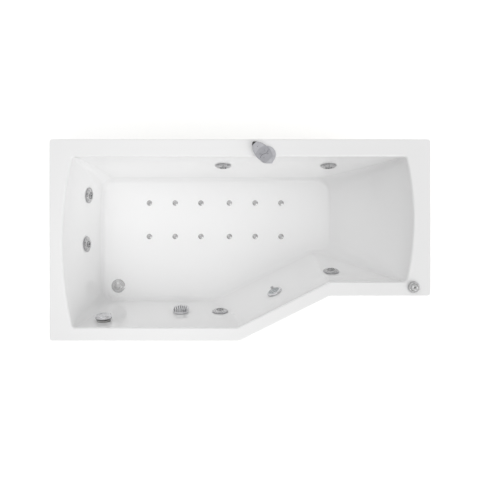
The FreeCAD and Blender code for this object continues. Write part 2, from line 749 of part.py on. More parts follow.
# Sides of each jet body that carry hoses; the last jet of each line has only one
JET_HOSE_SIDES = ((1, -1), (1, -1), (1, -1), (1,), (1, -1), (-1,))
JET_SOCKET = JET_BALL_RADIUS + SEAT_GAP
JET_FACE = FLANGE_SEAT + JET_BEZEL_HEIGHT
JET_BALL_Z = JET_FACE - math.sqrt(JET_SOCKET ** 2 - JET_MOUTH_RADIUS ** 2)


def jet_bezel(seat):
    tail_end = behind_nut(seat) - JET_TAIL_LENGTH + NUT_HEIGHT
    crown_radius = (JET_BEZEL_RADIUS + JET_MOUTH_RADIUS) / 2
    crown = (crown_radius + JET_BEZEL_EDGE, JET_FACE - JET_BEZEL_EDGE / 2)
    profile = [(JET_SOCKET, tail_end), (JET_TAIL_RADIUS, tail_end), (JET_TAIL_RADIUS, FLANGE_SEAT),
               (JET_BEZEL_RADIUS, FLANGE_SEAT),
               (JET_BEZEL_RADIUS, FLANGE_SEAT + JET_BEZEL_EDGE, crown),
               (JET_MOUTH_RADIUS, JET_FACE), (JET_MOUTH_RADIUS, JET_BALL_Z), (JET_SOCKET, JET_BALL_Z)]
    socket = Part.makeSphere(JET_SOCKET, Vector(0, 0, JET_BALL_Z))
    return placed(turned(profile).cut(socket), seat.frame)


def jet_nozzle(seat):
    ball = Part.makeSphere(JET_BALL_RADIUS, Vector(0, 0, JET_BALL_Z))
    spout = disc(JET_SPOUT_RADIUS, JET_BALL_Z, JET_BALL_Z + JET_SPOUT_LENGTH)
    bore = disc(JET_SPOUT_BORE, JET_BALL_Z - JET_BALL_RADIUS, JET_BALL_Z + 2 * JET_BALL_RADIUS)
    return placed(ball.fuse(spout).cut(bore), seat.frame)


def jet_port_z(seat):
    return -(seat.wall + JET_PORT_DEPTH)


def jet_body(seat, water_sides):
    front = behind_nut(seat)
    back = front - JET_BODY_LENGTH
    middle = UP * jet_port_z(seat)
    knuckle = middle + Vector(0, JET_AIR_HEIGHT, 0)
    knuckle_radius = AIR_SPIGOT_RADIUS + 2 * AIR_SPIGOT_WALL
    knuckle_half = Vector(knuckle_radius, 0, 0)
    bore = JET_TAIL_RADIUS + THREAD_GAP
    solids = [disc(JET_BODY_RADIUS, back, front),
              cylinder(AIR_SPIGOT_RADIUS + AIR_SPIGOT_WALL, middle + Vector(0, JET_TAIL_RADIUS, 0), knuckle),
              cylinder(knuckle_radius, knuckle - knuckle_half, knuckle + knuckle_half)]
    cuts = [disc(bore, back + JET_BODY_BACK, front), cylinder(JET_AIR_STUB_BORE, middle, knuckle)]
    for side in water_sides:
        water_end = middle + Vector(side * (JET_BODY_RADIUS + SPIGOT_LENGTH), 0, 0)
        air_end = knuckle + Vector(side * (JET_TAIL_RADIUS + SPIGOT_LENGTH), 0, 0)
        solids.append(cylinder(SPIGOT_RADIUS, middle, water_end))
        solids.append(cylinder(AIR_SPIGOT_RADIUS, knuckle, air_end))
        cuts.append(cylinder(SPIGOT_RADIUS - SPIGOT_WALL, middle, water_end))
        cuts.append(cylinder(AIR_SPIGOT_RADIUS - AIR_SPIGOT_WALL, knuckle, air_end))
    ball_back = JET_BALL_Z - math.sqrt(JET_BALL_RADIUS ** 2 - (JET_SPOUT_BORE + SPIGOT_WALL) ** 2)
    throat = ring(JET_SPOUT_BORE + 2 * SPIGOT_WALL, JET_SPOUT_BORE + SPIGOT_WALL,
                  back, ball_back - SEAT_GAP)
    across = Vector(JET_TAIL_RADIUS, 0, 0)
    throat = throat.cut(cylinder(JET_THROAT_PORT, middle - across, middle + across))
    shell = fused(solids).cut(fused(cuts))
    return placed(shell.fuse(throat), seat.frame)


def jet_water_port(seat, side, distance):
    return seat.frame.multVec(Vector(side * distance, 0, jet_port_z(seat)))


def jet_air_port(seat, side, distance):
    return seat.frame.multVec(Vector(side * distance, JET_AIR_HEIGHT, jet_port_z(seat)))


# Hoses of the jets
WATER_ROOT = JET_BODY_RADIUS + HOSE_START_GAP
AIR_ROOT = AIR_SPIGOT_RADIUS + 2 * AIR_SPIGOT_WALL + HOSE_START_GAP
END_LANE_X = RIGHT - END_LANE_FROM_RIGHT


def slant_lane(places):
    return [behind("slant", along * SLANT_LENGTH, down * BASIN_DEPTH, distance)
            for along, down, distance in places]


def left_corner(run, lead):
    """Corner behind the basin's back left corner, halfway down to the left wall's lead."""
    return Vector(lead.x, run.y, (run.z + lead.z) / 2)


def water_hose_routes(seats):
    back_right, back_left, left_high, left_low, narrow, front = seats
    tee = Vector(PUMP_X, DISCHARGE_Y, TEE_Z)
    tee_root = TEE_RADIUS + HOSE_START_GAP
    narrow_lead = jet_water_port(narrow, -1, LONG_LEAD)
    back_start = jet_water_port(back_right, 1, WATER_ROOT)
    back_end = jet_water_port(back_left, -1, WATER_ROOT)
    left_lead = jet_water_port(left_high, 1, LONG_LEAD)
    return [
        [tee - Vector(0, tee_root, 0), Vector(PUMP_X, narrow_lead.y, TEE_Z),
         narrow_lead, jet_water_port(narrow, -1, WATER_ROOT)],
        [jet_water_port(narrow, 1, WATER_ROOT), jet_water_port(narrow, 1, SHORT_LEAD),
         *slant_lane(SLANT_WATER_LANE),
         jet_water_port(front, -1, SHORT_LEAD), jet_water_port(front, -1, WATER_ROOT)],
        [tee + Vector(0, tee_root, 0), tee + Vector(0, LONG_LEAD, 0),
         Vector(END_LANE_X, DISCHARGE_Y + 2 * LONG_LEAD, TEE_Z + LANE_RISE),
         Vector(END_LANE_X, back_start.y, back_start.z), back_start],
        [jet_water_port(back_right, -1, WATER_ROOT), jet_water_port(back_left, 1, WATER_ROOT)],
        [back_end, jet_water_port(back_left, -1, LONG_LEAD), left_corner(back_end, left_lead),
         left_lead, jet_water_port(left_high, 1, WATER_ROOT)],
        [jet_water_port(left_high, -1, WATER_ROOT), jet_water_port(left_high, -1, LONG_LEAD),
         jet_water_port(left_low, 1, LONG_LEAD), jet_water_port(left_low, 1, WATER_ROOT)],
    ]


def air_hose_routes(seats):
    back_right, back_left, left_high, left_low, narrow, front = seats
    dial = AIR_DIAL - UP * AIR_BODY_PORT_DEPTH
    dial_root = AIR_BODY_TAIL_RADIUS + HOSE_START_GAP
    back_start = jet_air_port(back_right, 1, AIR_ROOT)
    back_end = jet_air_port(back_left, -1, AIR_ROOT)
    left_lead = jet_air_port(left_high, 1, LONG_LEAD)
    return [
        [dial - Vector(dial_root, 0, 0), dial - Vector(SHORT_LEAD, 0, 0),
         jet_air_port(narrow, -1, LONG_LEAD), jet_air_port(narrow, -1, AIR_ROOT)],
        [jet_air_port(narrow, 1, AIR_ROOT), jet_air_port(narrow, 1, SHORT_LEAD),
         *slant_lane(SLANT_AIR_LANE),
         jet_air_port(front, -1, SHORT_LEAD), jet_air_port(front, -1, AIR_ROOT)],
        [dial + Vector(0, dial_root, 0), dial + Vector(0, SHORT_LEAD, 0),
         Vector(END_LANE_X, dial.y + 2 * LONG_LEAD, dial.z - LANE_RISE),
         Vector(END_LANE_X, back_start.y, back_start.z), back_start],
        [jet_air_port(back_right, -1, AIR_ROOT), jet_air_port(back_left, 1, AIR_ROOT)],
        [back_end, jet_air_port(back_left, -1, LONG_LEAD), left_corner(back_end, left_lead),
         left_lead, jet_air_port(left_high, 1, AIR_ROOT)],
        [jet_air_port(left_high, -1, AIR_ROOT), jet_air_port(left_high, -1, LONG_LEAD),
         jet_air_port(left_low, 1, LONG_LEAD), jet_air_port(left_low, 1, AIR_ROOT)],
    ]


# Suction fitting


def suction_body(seat):
    front = behind_nut(seat)
    back = front - SUCTION_BODY_LENGTH
    port_z = front - SUCTION_BODY_LENGTH / 2
    bore = SUCTION_TAIL_RADIUS - SUCTION_SPIGOT_WALL
    spigot_end = Vector(0, -SUCTION_BODY_RADIUS - SUCTION_SPIGOT_LENGTH, port_z)
    body = fused([
        disc(SUCTION_FLANGE_RADIUS, FLANGE_SEAT, FLANGE_SEAT + SUCTION_FLANGE_HEIGHT),
        disc(SUCTION_TAIL_RADIUS, front, FLANGE_SEAT),
        disc(SUCTION_BODY_RADIUS, back, front),
        cylinder(SUCTION_SPIGOT_RADIUS, Vector(0, 0, port_z), spigot_end),
    ])
    cuts = disc(bore, back + SUCTION_SPIGOT_WALL, FLANGE_SEAT + SUCTION_FLANGE_HEIGHT).fuse(
        cylinder(SUCTION_SPIGOT_RADIUS - SUCTION_SPIGOT_WALL, Vector(0, 0, port_z), spigot_end))
    return placed(body.cut(cuts), seat.frame)


def suction_grille(seat):
    low = FLANGE_SEAT
    top = SUCTION_COVER_HEIGHT
    skirt = FLANGE_SEAT + SUCTION_SKIRT_HEIGHT
    inner_radius = SUCTION_FLANGE_RADIUS + SEAT_GAP
    inner_top = top - SUCTION_COVER_WALL
    outer = turned([(0, low), (SUCTION_COVER_RADIUS, low),
                    (SUCTION_COVER_RADIUS, skirt, dome_middle(SUCTION_COVER_RADIUS, skirt, top)), (0, top)])
    inner = turned([(0, low), (inner_radius, low),
                    (inner_radius, skirt, dome_middle(inner_radius, skirt, inner_top)), (0, inner_top)])
    cover = outer.cut(inner)
    half = (SUCTION_SLOTS - 1) / 2
    slot_low = low + SUCTION_SLOT_ABOVE_WALL
    slots = []
    for index in range(SUCTION_SLOTS):
        x = (index - half) * SUCTION_SLOT_PITCH
        for side in (1, -1):
            near, far = sorted((side * SUCTION_BAND_WIDTH / 2, side * SUCTION_COVER_RADIUS))
            slots.append(block(Vector(x - SUCTION_SLOT_WIDTH / 2, near, slot_low),
                               Vector(x + SUCTION_SLOT_WIDTH / 2, far, top + SUCTION_COVER_WALL)))
    return placed(cover.cut(Part.makeCompound(slots)), seat.frame)


def suction_hose_route(seat):
    port_z = behind_nut(seat) - SUCTION_BODY_LENGTH / 2
    root = seat.frame.multVec(Vector(0, -SUCTION_BODY_RADIUS - HOSE_START_GAP, port_z))
    lead = seat.frame.multVec(Vector(0, -SUCTION_BODY_RADIUS - LONG_LEAD, port_z))
    low = BASIN_DEPTH - SUCTION_HOSE_ABOVE_FLOOR
    lane_y = PUMP_Y - SUCTION_LANE_FRONT_OF_PUMP
    down = low / BASIN_DEPTH
    slant = slant_lane([(along, down, SUCTION_LANE_BEHIND) for along in SUCTION_LANE_SLANT])
    return [root, lead, behind("front", SLANT_A.x - SUCTION_LANE_BEFORE_SLANT, low, SUCTION_LANE_BEHIND),
            *slant, Vector(PUMP_X - SUCTION_LANE_BEFORE_PUMP, lane_y, PUMP_Z),
            Vector(PUMP_X, lane_y, PUMP_Z), Vector(PUMP_X, PUMP_Y - HOSE_START_GAP, PUMP_Z)]


# Overflow


def overflow_port_z(seat):
    return behind_nut(seat) - OVERFLOW_BODY_LENGTH / 2


def overflow_body(seat):
    front = behind_nut(seat)
    back = front - OVERFLOW_BODY_LENGTH
    port_z = overflow_port_z(seat)
    bore = OVERFLOW_TAIL_RADIUS - OVERFLOW_TAIL_WALL
    face = FLANGE_SEAT + OVERFLOW_FLANGE_HEIGHT
    hub_back = face - OVERFLOW_HUB_LENGTH
    hub = OVERFLOW_SPINDLE_RADIUS + OVERFLOW_HUB_WALL
    spigot_end = Vector(0, -OVERFLOW_BODY_RADIUS - SPIGOT_LENGTH, port_z)
    gland_end = Vector(-CABLE_BESIDE, -OVERFLOW_BODY_RADIUS - GLAND_LENGTH, port_z)
    body = fused([
        disc(OVERFLOW_FLANGE_RADIUS, FLANGE_SEAT, face),
        disc(OVERFLOW_TAIL_RADIUS, front, FLANGE_SEAT),
        disc(OVERFLOW_BODY_RADIUS, back, front),
        cylinder(SPIGOT_RADIUS, Vector(0, 0, port_z), spigot_end),
        cylinder(GLAND_RADIUS, Vector(-CABLE_BESIDE, 0, port_z), gland_end),
    ])
    cuts = disc(bore, back + OVERFLOW_TAIL_WALL, face).fuse(
        cylinder(SPIGOT_RADIUS - SPIGOT_WALL, Vector(0, 0, port_z), spigot_end))
    bearing = fused([disc(hub, hub_back, face)] + spokes(3, SPOKE_WIDTH, 0, bore, hub_back, face))
    bearing = bearing.cut(disc(OVERFLOW_SPINDLE_RADIUS + RUNNING_GAP, hub_back, face))
    return placed(body.cut(cuts).fuse(bearing), seat.frame)


def overflow_knob(seat):
    low = FLANGE_SEAT + OVERFLOW_KNOB_OFF_WALL
    top = low + OVERFLOW_KNOB_HEIGHT
    radius = OVERFLOW_KNOB_RADIUS
    curve = OVERFLOW_KNOB_ROUND
    bend = curve * (1 - math.sin(math.pi / 4))
    cap = turned([(0, low), (radius, low), (radius, top - curve, (radius - bend, top - bend)),
                  (radius - curve, top), (0, top)])
    hollow = disc(radius - OVERFLOW_KNOB_WALL, low, top - 2 * OVERFLOW_KNOB_WALL)
    spindle_end = FLANGE_SEAT + OVERFLOW_FLANGE_HEIGHT - OVERFLOW_HUB_LENGTH
    spindle = disc(OVERFLOW_SPINDLE_RADIUS, spindle_end, top - OVERFLOW_KNOB_WALL)
    return placed(cap.cut(hollow).fuse(spindle), seat.frame)


# Waste


WASTE = Placement(DRAIN, Rotation())
WASTE_INLET = -WASTE_INLET_DEPTH


def waste_flange():
    recess = PLUG_RADIUS + SEAT_GAP
    recess_floor = WASTE_FLANGE_HEIGHT - WASTE_RECESS_DEPTH
    profile = [(WASTE_BORE, -WASTE_TAIL_LENGTH), (WASTE_TAIL_RADIUS, -WASTE_TAIL_LENGTH),
               (WASTE_TAIL_RADIUS, SEAT_GAP), (WASTE_FLANGE_RADIUS, SEAT_GAP),
               (WASTE_FLANGE_RADIUS, WASTE_FLANGE_EDGE,
                ((WASTE_FLANGE_RADIUS + recess) / 2 + WASTE_FLANGE_EDGE, WASTE_FLANGE_HEIGHT - SEAT_GAP)),
               (recess, WASTE_FLANGE_HEIGHT), (recess, recess_floor), (WASTE_BORE, recess_floor)]
    return placed(turned(profile), WASTE)


def drain_plug():
    low = WASTE_FLANGE_HEIGHT - WASTE_RECESS_DEPTH + SEAT_GAP
    top = low + PLUG_HEIGHT
    edge = low + PLUG_EDGE
    cap = turned([(0, low), (PLUG_RADIUS, low), (PLUG_RADIUS, edge, dome_middle(PLUG_RADIUS, edge, top)),
                  (0, top)])
    stem = disc(PLUG_STEM_RADIUS, -WASTE_BODY_LENGTH - WASTE_HUB_LENGTH, low)
    return placed(cap.fuse(stem), WASTE)


def waste_body():
    top = -(SHELL_WALL + SEAT_GAP)
    bottom = -WASTE_BODY_LENGTH
    bore = WASTE_TAIL_RADIUS + THREAD_GAP
    hub_radius = PLUG_STEM_RADIUS + WASTE_HUB_WALL
    dip = WASTE_TAIL_RADIUS
    spigot_end = Vector(0, -WASTE_BODY_RADIUS - SPIGOT_LENGTH, WASTE_INLET)
    gland_end = Vector(-CABLE_BESIDE, -WASTE_BODY_RADIUS - GLAND_LENGTH, WASTE_INLET)
    body = fused([
        disc(WASTE_BODY_RADIUS, bottom, top),
        disc(dip, bottom - DIP_TUBE_LENGTH, bottom),
        cylinder(SPIGOT_RADIUS, Vector(0, 0, WASTE_INLET), spigot_end),
        cylinder(GLAND_RADIUS, Vector(-CABLE_BESIDE, 0, WASTE_INLET), gland_end),
    ])
    cuts = fused([
        disc(bore, bottom + WASTE_HUB_LENGTH, top),
        disc(dip - DIP_TUBE_WALL, bottom - DIP_TUBE_LENGTH, bottom + WASTE_HUB_LENGTH),
        cylinder(SPIGOT_RADIUS - SPIGOT_WALL, Vector(0, 0, WASTE_INLET), spigot_end),
    ])
    guide = fused([disc(hub_radius, bottom, bottom + WASTE_HUB_LENGTH)]
                  + spokes(3, SPOKE_WIDTH, 0, dip, bottom, bottom + WASTE_HUB_LENGTH))
    guide = guide.cut(disc(PLUG_STEM_RADIUS + RUNNING_GAP, bottom, bottom + WASTE_HUB_LENGTH))
    return placed(body.cut(cuts).fuse(guide), WASTE)


def waste_trap():
    top = -WASTE_BODY_LENGTH - SEAT_GAP
    bottom = top - TRAP_LENGTH
    neck = WASTE_TAIL_RADIUS + THREAD_GAP
    shoulder = top - TRAP_NECK_LENGTH
    outlet_z = top - OUTLET_BELOW_NECK
    outlet = Vector(0, 0, outlet_z)
    collar_end = outlet - Vector(TRAP_RADIUS + OUTLET_COLLAR_LENGTH, 0, 0)
    outlet_end = collar_end - Vector(OUTLET_LENGTH, 0, 0)
    body = fused([
        disc(neck + TRAP_NECK_WALL, shoulder, top),
        disc(TRAP_RADIUS, bottom, shoulder),
        cylinder(OUTLET_COLLAR_RADIUS, outlet, collar_end),
        cylinder(OUTLET_RADIUS, collar_end, outlet_end),
    ])
    cuts = fused([
        disc(neck, shoulder - TRAP_WALL, top),
        disc(TRAP_RADIUS - TRAP_WALL, bottom + TRAP_WALL, shoulder - TRAP_WALL),
        cylinder(OUTLET_RADIUS - OUTLET_WALL, outlet, outlet_end),
    ])
    return placed(body.cut(cuts), WASTE)


def waste_route(seat, beside, body_start, waste_start):
    """From a port under the overflow straight down and across to the waste body."""
    start = seat.frame.multVec(Vector(-beside, -body_start, overflow_port_z(seat)))
    below = seat.frame.multVec(Vector(-beside, -body_start - LONG_LEAD, overflow_port_z(seat)))
    end = WASTE.multVec(Vector(start.x - DRAIN.x, -waste_start, WASTE_INLET))
    return [start, below, Vector(start.x, below.y, end.z), end]


# Air jets in the floor


def air_jet_places():
    first = LEFT + AIR_JET_FROM_LEFT
    last = RIGHT - AIR_JET_FROM_RIGHT
    pitch = (last - first - AIR_JET_MIDDLE_EXTRA) / (2 * AIR_JETS_PER_GROUP - 1)
    xs = [first + pitch * k for k in range(AIR_JETS_PER_GROUP)]
    xs += [last - pitch * k for k in reversed(range(AIR_JETS_PER_GROUP))]
    return [Vector(x, BACK - row, FLOOR_HEIGHT) for row in AIR_JET_ROWS_FROM_BACK for x in xs]


def air_jet_cap(place):
    low = SEAT_GAP
    top = AIR_CAP_HEIGHT
    head = turned([(0, low), (AIR_CAP_RADIUS, low),
                   (AIR_CAP_RADIUS, AIR_CAP_EDGE, dome_middle(AIR_CAP_RADIUS, AIR_CAP_EDGE, top)), (0, top)])
    stem = disc(AIR_CAP_STEM_RADIUS, -AIR_CAP_STEM_LENGTH, low)
    cap = head.fuse(stem).cut(disc(AIR_TAIL_BORE, -AIR_CAP_STEM_LENGTH, AIR_CAP_EDGE))
    ring_radius = AIR_TAIL_BORE - 1.5 * AIR_CAP_HOLE_RADIUS
    for index in range(AIR_CAP_HOLES):
        turn = 2 * math.pi * index / AIR_CAP_HOLES
        middle = Vector(ring_radius * math.cos(turn), ring_radius * math.sin(turn), 0)
        cap = cap.cut(cylinder(AIR_CAP_HOLE_RADIUS, middle, middle + UP * 2 * AIR_CAP_HEIGHT))
    return placed(cap, Placement(place, Rotation()))


AIR_STEM_BORE = AIR_CAP_STEM_RADIUS + THREAD_GAP
AIR_BODY_RADIUS = AIR_STEM_BORE + AIR_BODY_WALL


def air_jet_body(place):
    collar_top = -(SHELL_WALL + SEAT_GAP)
    collar_bottom = collar_top - AIR_COLLAR_HEIGHT
    tail_end = MANIFOLD_Z + MANIFOLD_RADIUS - AIR_TAIL_INTO_PIPE - FLOOR_HEIGHT
    body = fused([
        disc(AIR_BODY_RADIUS, collar_bottom, -SEAT_GAP),
        disc(AIR_COLLAR_RADIUS, collar_bottom, collar_top),
        disc(AIR_TAIL_RADIUS, tail_end, collar_bottom),
    ])
    cuts = disc(AIR_STEM_BORE, -AIR_CAP_STEM_LENGTH - SEAT_GAP, 0).fuse(disc(AIR_TAIL_BORE, tail_end, 0))
    return placed(body.cut(cuts), Placement(place, Rotation()))


def manifold_cross_x():
    return max(place.x for place in air_jet_places()) + MANIFOLD_CROSS_AFTER_LAST


def manifold_inlet_y():
    return BLOWER.y - BLOWER_OUTLET_OFFSET


def air_manifold():
    places = air_jet_places()
    first_x = min(place.x for place in places) - MANIFOLD_END
    cross_x = manifold_cross_x()
    rows = sorted({place.y for place in places})
    inlet = Vector(cross_x, manifold_inlet_y(), MANIFOLD_Z)
    inlet_end = inlet + Vector(MANIFOLD_CROSS_RADIUS + BLOWER_SPIGOT_LENGTH, 0, 0)
    cross_low = Vector(cross_x, rows[0] - MANIFOLD_CROSS_RADIUS, MANIFOLD_Z)
    cross_high = inlet + Vector(0, MANIFOLD_CROSS_RADIUS, 0)
    wall = Vector(0, MANIFOLD_WALL, 0)
    outer = [cylinder(MANIFOLD_CROSS_RADIUS, cross_low, cross_high),
             cylinder(BLOWER_SPIGOT_RADIUS, inlet, inlet_end)]
    inner = [cylinder(MANIFOLD_CROSS_RADIUS - MANIFOLD_WALL, cross_low + wall, cross_high - wall),
             cylinder(BLOWER_SPIGOT_RADIUS - BLOWER_SPIGOT_WALL, inlet, inlet_end)]
    for y in rows:
        start = Vector(first_x, y, MANIFOLD_Z)
        end = Vector(cross_x, y, MANIFOLD_Z)
        outer.append(cylinder(MANIFOLD_RADIUS, start, end))
        inner.append(cylinder(MANIFOLD_RADIUS - MANIFOLD_WALL, start + Vector(MANIFOLD_WALL, 0, 0), end))
    for place in places:
        low = Vector(place.x, place.y, MANIFOLD_Z)
        inner.append(cylinder(AIR_TAIL_RADIUS + THREAD_GAP, low, low + UP * 2 * MANIFOLD_RADIUS))
    return fused(outer).cut(fused(inner))


# Blower


def blower_case():
    outlet_z = BLOWER_OUTLET_HEIGHT
    start = Vector(0, -BLOWER_OUTLET_OFFSET, outlet_z)
    end = Vector(-BLOWER_RADIUS - BLOWER_SPIGOT_LENGTH, -BLOWER_OUTLET_OFFSET, outlet_z)
    bearing = FAN_SHAFT_RADIUS + FAN_BEARING_WALL
    body = disc(BLOWER_RADIUS, 0, BLOWER_HEIGHT).fuse(cylinder(BLOWER_SPIGOT_RADIUS, start, end))
    cuts = fused([
        disc(BLOWER_RADIUS - BLOWER_WALL, BLOWER_WALL, BLOWER_HEIGHT - BLOWER_WALL),
        disc(BLOWER_INTAKE_RADIUS, BLOWER_HEIGHT - BLOWER_WALL, BLOWER_HEIGHT),
        cylinder(BLOWER_SPIGOT_RADIUS - BLOWER_SPIGOT_WALL, start, end),
    ])
    guard = spokes(6, SPOKE_WIDTH, 0, BLOWER_INTAKE_RADIUS + BLOWER_WALL,
                   BLOWER_HEIGHT - BLOWER_WALL, BLOWER_HEIGHT)
    post = ring(bearing, FAN_SHAFT_RADIUS + RUNNING_GAP, BLOWER_WALL, BLOWER_WALL + FAN_BEARING_HEIGHT)
    return placed(body.cut(cuts).multiFuse(guard + [post]), Placement(BLOWER, Rotation()))


def blower_fan():
    disc_low = BLOWER_WALL + FAN_BEARING_HEIGHT + SEAT_GAP
    disc_high = disc_low + FAN_DISC
    blades = spokes(FAN_BLADES, FAN_BLADE_WIDTH, FAN_RADIUS - FAN_BLADE_LENGTH, FAN_RADIUS,
                    disc_low, disc_high + FAN_BLADE_HEIGHT)
    shaft = disc(FAN_SHAFT_RADIUS, BLOWER_WALL + SEAT_GAP, disc_low)
    return placed(fused([disc(FAN_RADIUS, disc_low, disc_high), shaft] + blades),
                  Placement(BLOWER, Rotation()))


def blower_drop_x():
    return SHELF_LEFT + BLOWER_DROP_FROM_SHELF_EDGE


def blower_hose_route():
    y = manifold_inlet_y()
    z = BLOWER.z + BLOWER_OUTLET_HEIGHT
    start_x = BLOWER.x - BLOWER_RADIUS
    end_x = manifold_cross_x() + MANIFOLD_CROSS_RADIUS + HOSE_START_GAP
    return [Vector(start_x, y, z), Vector(blower_drop_x(), y, z),
            Vector(blower_drop_x(), y, MANIFOLD_Z), Vector(end_x, y, MANIFOLD_Z)]


# Pump


PUMP = Placement(Vector(PUMP_X, PUMP_Y, PUMP_Z), Rotation(Vector(1, 0, 0), -90))


def pump_volute():
    discharge = Vector(0, -VOLUTE_RADIUS - DISCHARGE_SPIGOT_LENGTH, VOLUTE_LENGTH / 2)
    middle = Vector(0, 0, VOLUTE_LENGTH / 2)
    bore = SUCTION_SPIGOT_RADIUS - SUCTION_SPIGOT_WALL
    body = fused([
        disc(VOLUTE_RADIUS, 0, VOLUTE_LENGTH),
        disc(SUCTION_SPIGOT_RADIUS, -SUCTION_SPIGOT_LENGTH, 0),
        cylinder(SUCTION_SPIGOT_RADIUS, middle, discharge),
    ])
    cuts = fused([
        disc(VOLUTE_RADIUS - VOLUTE_WALL, VOLUTE_WALL, VOLUTE_LENGTH - VOLUTE_WALL),
        disc(bore, -SUCTION_SPIGOT_LENGTH, VOLUTE_WALL),
        disc(ROTOR_SHAFT_RADIUS + RUNNING_GAP, 0, VOLUTE_LENGTH),
        cylinder(bore, middle, discharge),
    ])
    return placed(body.cut(cuts), PUMP)


def pump_motor():
    low = VOLUTE_LENGTH
    high = low + MOTOR_LENGTH
    outer = MOTOR_RADIUS
    fin_root = outer - MOTOR_WALL / 2
    fins = spokes(MOTOR_FINS, MOTOR_FIN_WIDTH, fin_root, outer + MOTOR_FIN_HEIGHT,
                  low + VOLUTE_WALL, high - VOLUTE_WALL)
    middle = (low + high) / 2
    foot_top = PUMP_AXIS_ABOVE_SHELF - MOTOR_FOOT_THICKNESS
    foot = block(Vector(-MOTOR_FOOT_WIDTH / 2, foot_top, middle - MOTOR_FOOT_LENGTH / 2),
                 Vector(MOTOR_FOOT_WIDTH / 2, PUMP_AXIS_ABOVE_SHELF, middle + MOTOR_FOOT_LENGTH / 2))
    web = block(Vector(-MOTOR_WEB_WIDTH / 2, 0, middle - MOTOR_FOOT_LENGTH / 2),
                Vector(MOTOR_WEB_WIDTH / 2, foot_top, middle + MOTOR_FOOT_LENGTH / 2))
    hollow = disc(outer - MOTOR_WALL, low + VOLUTE_WALL, high - VOLUTE_WALL)
    shaft_hole = disc(ROTOR_SHAFT_RADIUS + RUNNING_GAP, low, high - VOLUTE_WALL / 2)
    body = fused([disc(outer, low, high), foot, web] + fins)
    return placed(body.cut(hollow).cut(shaft_hole), PUMP)


def pump_rotor():
    disc_high = VOLUTE_LENGTH - VOLUTE_WALL - IMPELLER_DISC
    disc_low = disc_high - IMPELLER_DISC
    shaft_end = VOLUTE_LENGTH + MOTOR_LENGTH - VOLUTE_WALL / 2 - SEAT_GAP
    core_low = VOLUTE_LENGTH + (MOTOR_LENGTH - ROTOR_CORE_LENGTH) / 2
    vanes = spokes(IMPELLER_VANES, IMPELLER_VANE_WIDTH, 2 * ROTOR_SHAFT_RADIUS, IMPELLER_RADIUS,
                   disc_low - IMPELLER_VANE_HEIGHT, disc_high)
    rotor = fused([
        disc(ROTOR_SHAFT_RADIUS, disc_low, shaft_end),
        disc(IMPELLER_RADIUS, disc_low, disc_high),
        disc(ROTOR_CORE_RADIUS, core_low, core_low + ROTOR_CORE_LENGTH),
    ] + vanes)
    return placed(rotor, PUMP)


def water_tee():
    middle = Vector(PUMP_X, DISCHARGE_Y, TEE_Z)
    top = middle + UP * (SPIGOT_RADIUS + TEE_TOP_WALL)
    bottom = Vector(PUMP_X, DISCHARGE_Y, PUMP_Z + VOLUTE_RADIUS + SEAT_GAP)
    side = Vector(0, TEE_RADIUS + SPIGOT_LENGTH, 0)
    socket_top = Vector(PUMP_X, DISCHARGE_Y, PUMP_Z + VOLUTE_RADIUS + DISCHARGE_SPIGOT_LENGTH + SEAT_GAP)
    body = cylinder(TEE_RADIUS, bottom, top).fuse(cylinder(SPIGOT_RADIUS, middle - side, middle + side))
    bore = SPIGOT_RADIUS - SPIGOT_WALL
    cuts = fused([cylinder(SUCTION_SPIGOT_RADIUS + HOSE_GAP, bottom, socket_top),
                  cylinder(bore, middle - side, middle + side), cylinder(bore, bottom, middle)])
    return body.cut(cuts)


# Frame


def front_upright_y(x):
    """Y of an upright behind the front lip, which is straight, slanted or set back at x."""
    if x <= SLANT_A.x:
        return FRONT + UPRIGHT_INSET
    if x >= SLANT_B.x:
        return NARROW_FRONT + UPRIGHT_INSET
    edge_y = SLANT_A.y + (x - SLANT_A.x) * SLANT_ALONG.y / SLANT_ALONG.x
    half = TUBE / 2 * (abs(SLANT_ALONG.x) + abs(SLANT_ALONG.y))
    return edge_y + (SHELL_WALL + UPRIGHT_LIP_GAP + half) / SLANT_ALONG.x


def square_tube(low, high, axis):
    shape = block(low, high)
    wall = Vector(TUBE_WALL, TUBE_WALL, TUBE_WALL)
    setattr(wall, axis, 0)
    return shape.cut(block(low + wall, high - wall))


def upright_places():
    """X, Y and foot height of each upright."""
    places = []
    for x in CROSS_RAIL_XS:
        places.append((x, front_upright_y(x), BOARD_BOTTOM))
        places.append((x, BACK - UPRIGHT_INSET, BOARD_BOTTOM))
    for y in LONG_RAIL_YS:
        places.append((END_UPRIGHT_X, y, CROSS_BOTTOM))
    return places


def uprights():
    half = Vector(TUBE / 2, TUBE / 2, 0)
    return [square_tube(Vector(x, y, z) - half, Vector(x, y, UPRIGHT_TOP) + half, "z")
            for x, y, z in upright_places()]


def rim_pads():
    half = Vector(RIM_PAD_WIDTH / 2, TUBE / 2, 0)
    turned_half = Vector(TUBE / 2, RIM_PAD_WIDTH / 2, 0)
    pads = []
    for x, y, z in upright_places():
        reach = turned_half if x == END_UPRIGHT_X else half
        if SLANT_A.x < x < SLANT_B.x:
            reach = Vector(TUBE / 2, TUBE / 2, 0)
        pads.append(block(Vector(x, y, UPRIGHT_TOP) - reach,
                          Vector(x, y, UPRIGHT_TOP + RIM_PAD_THICKNESS) + reach))
    return pads


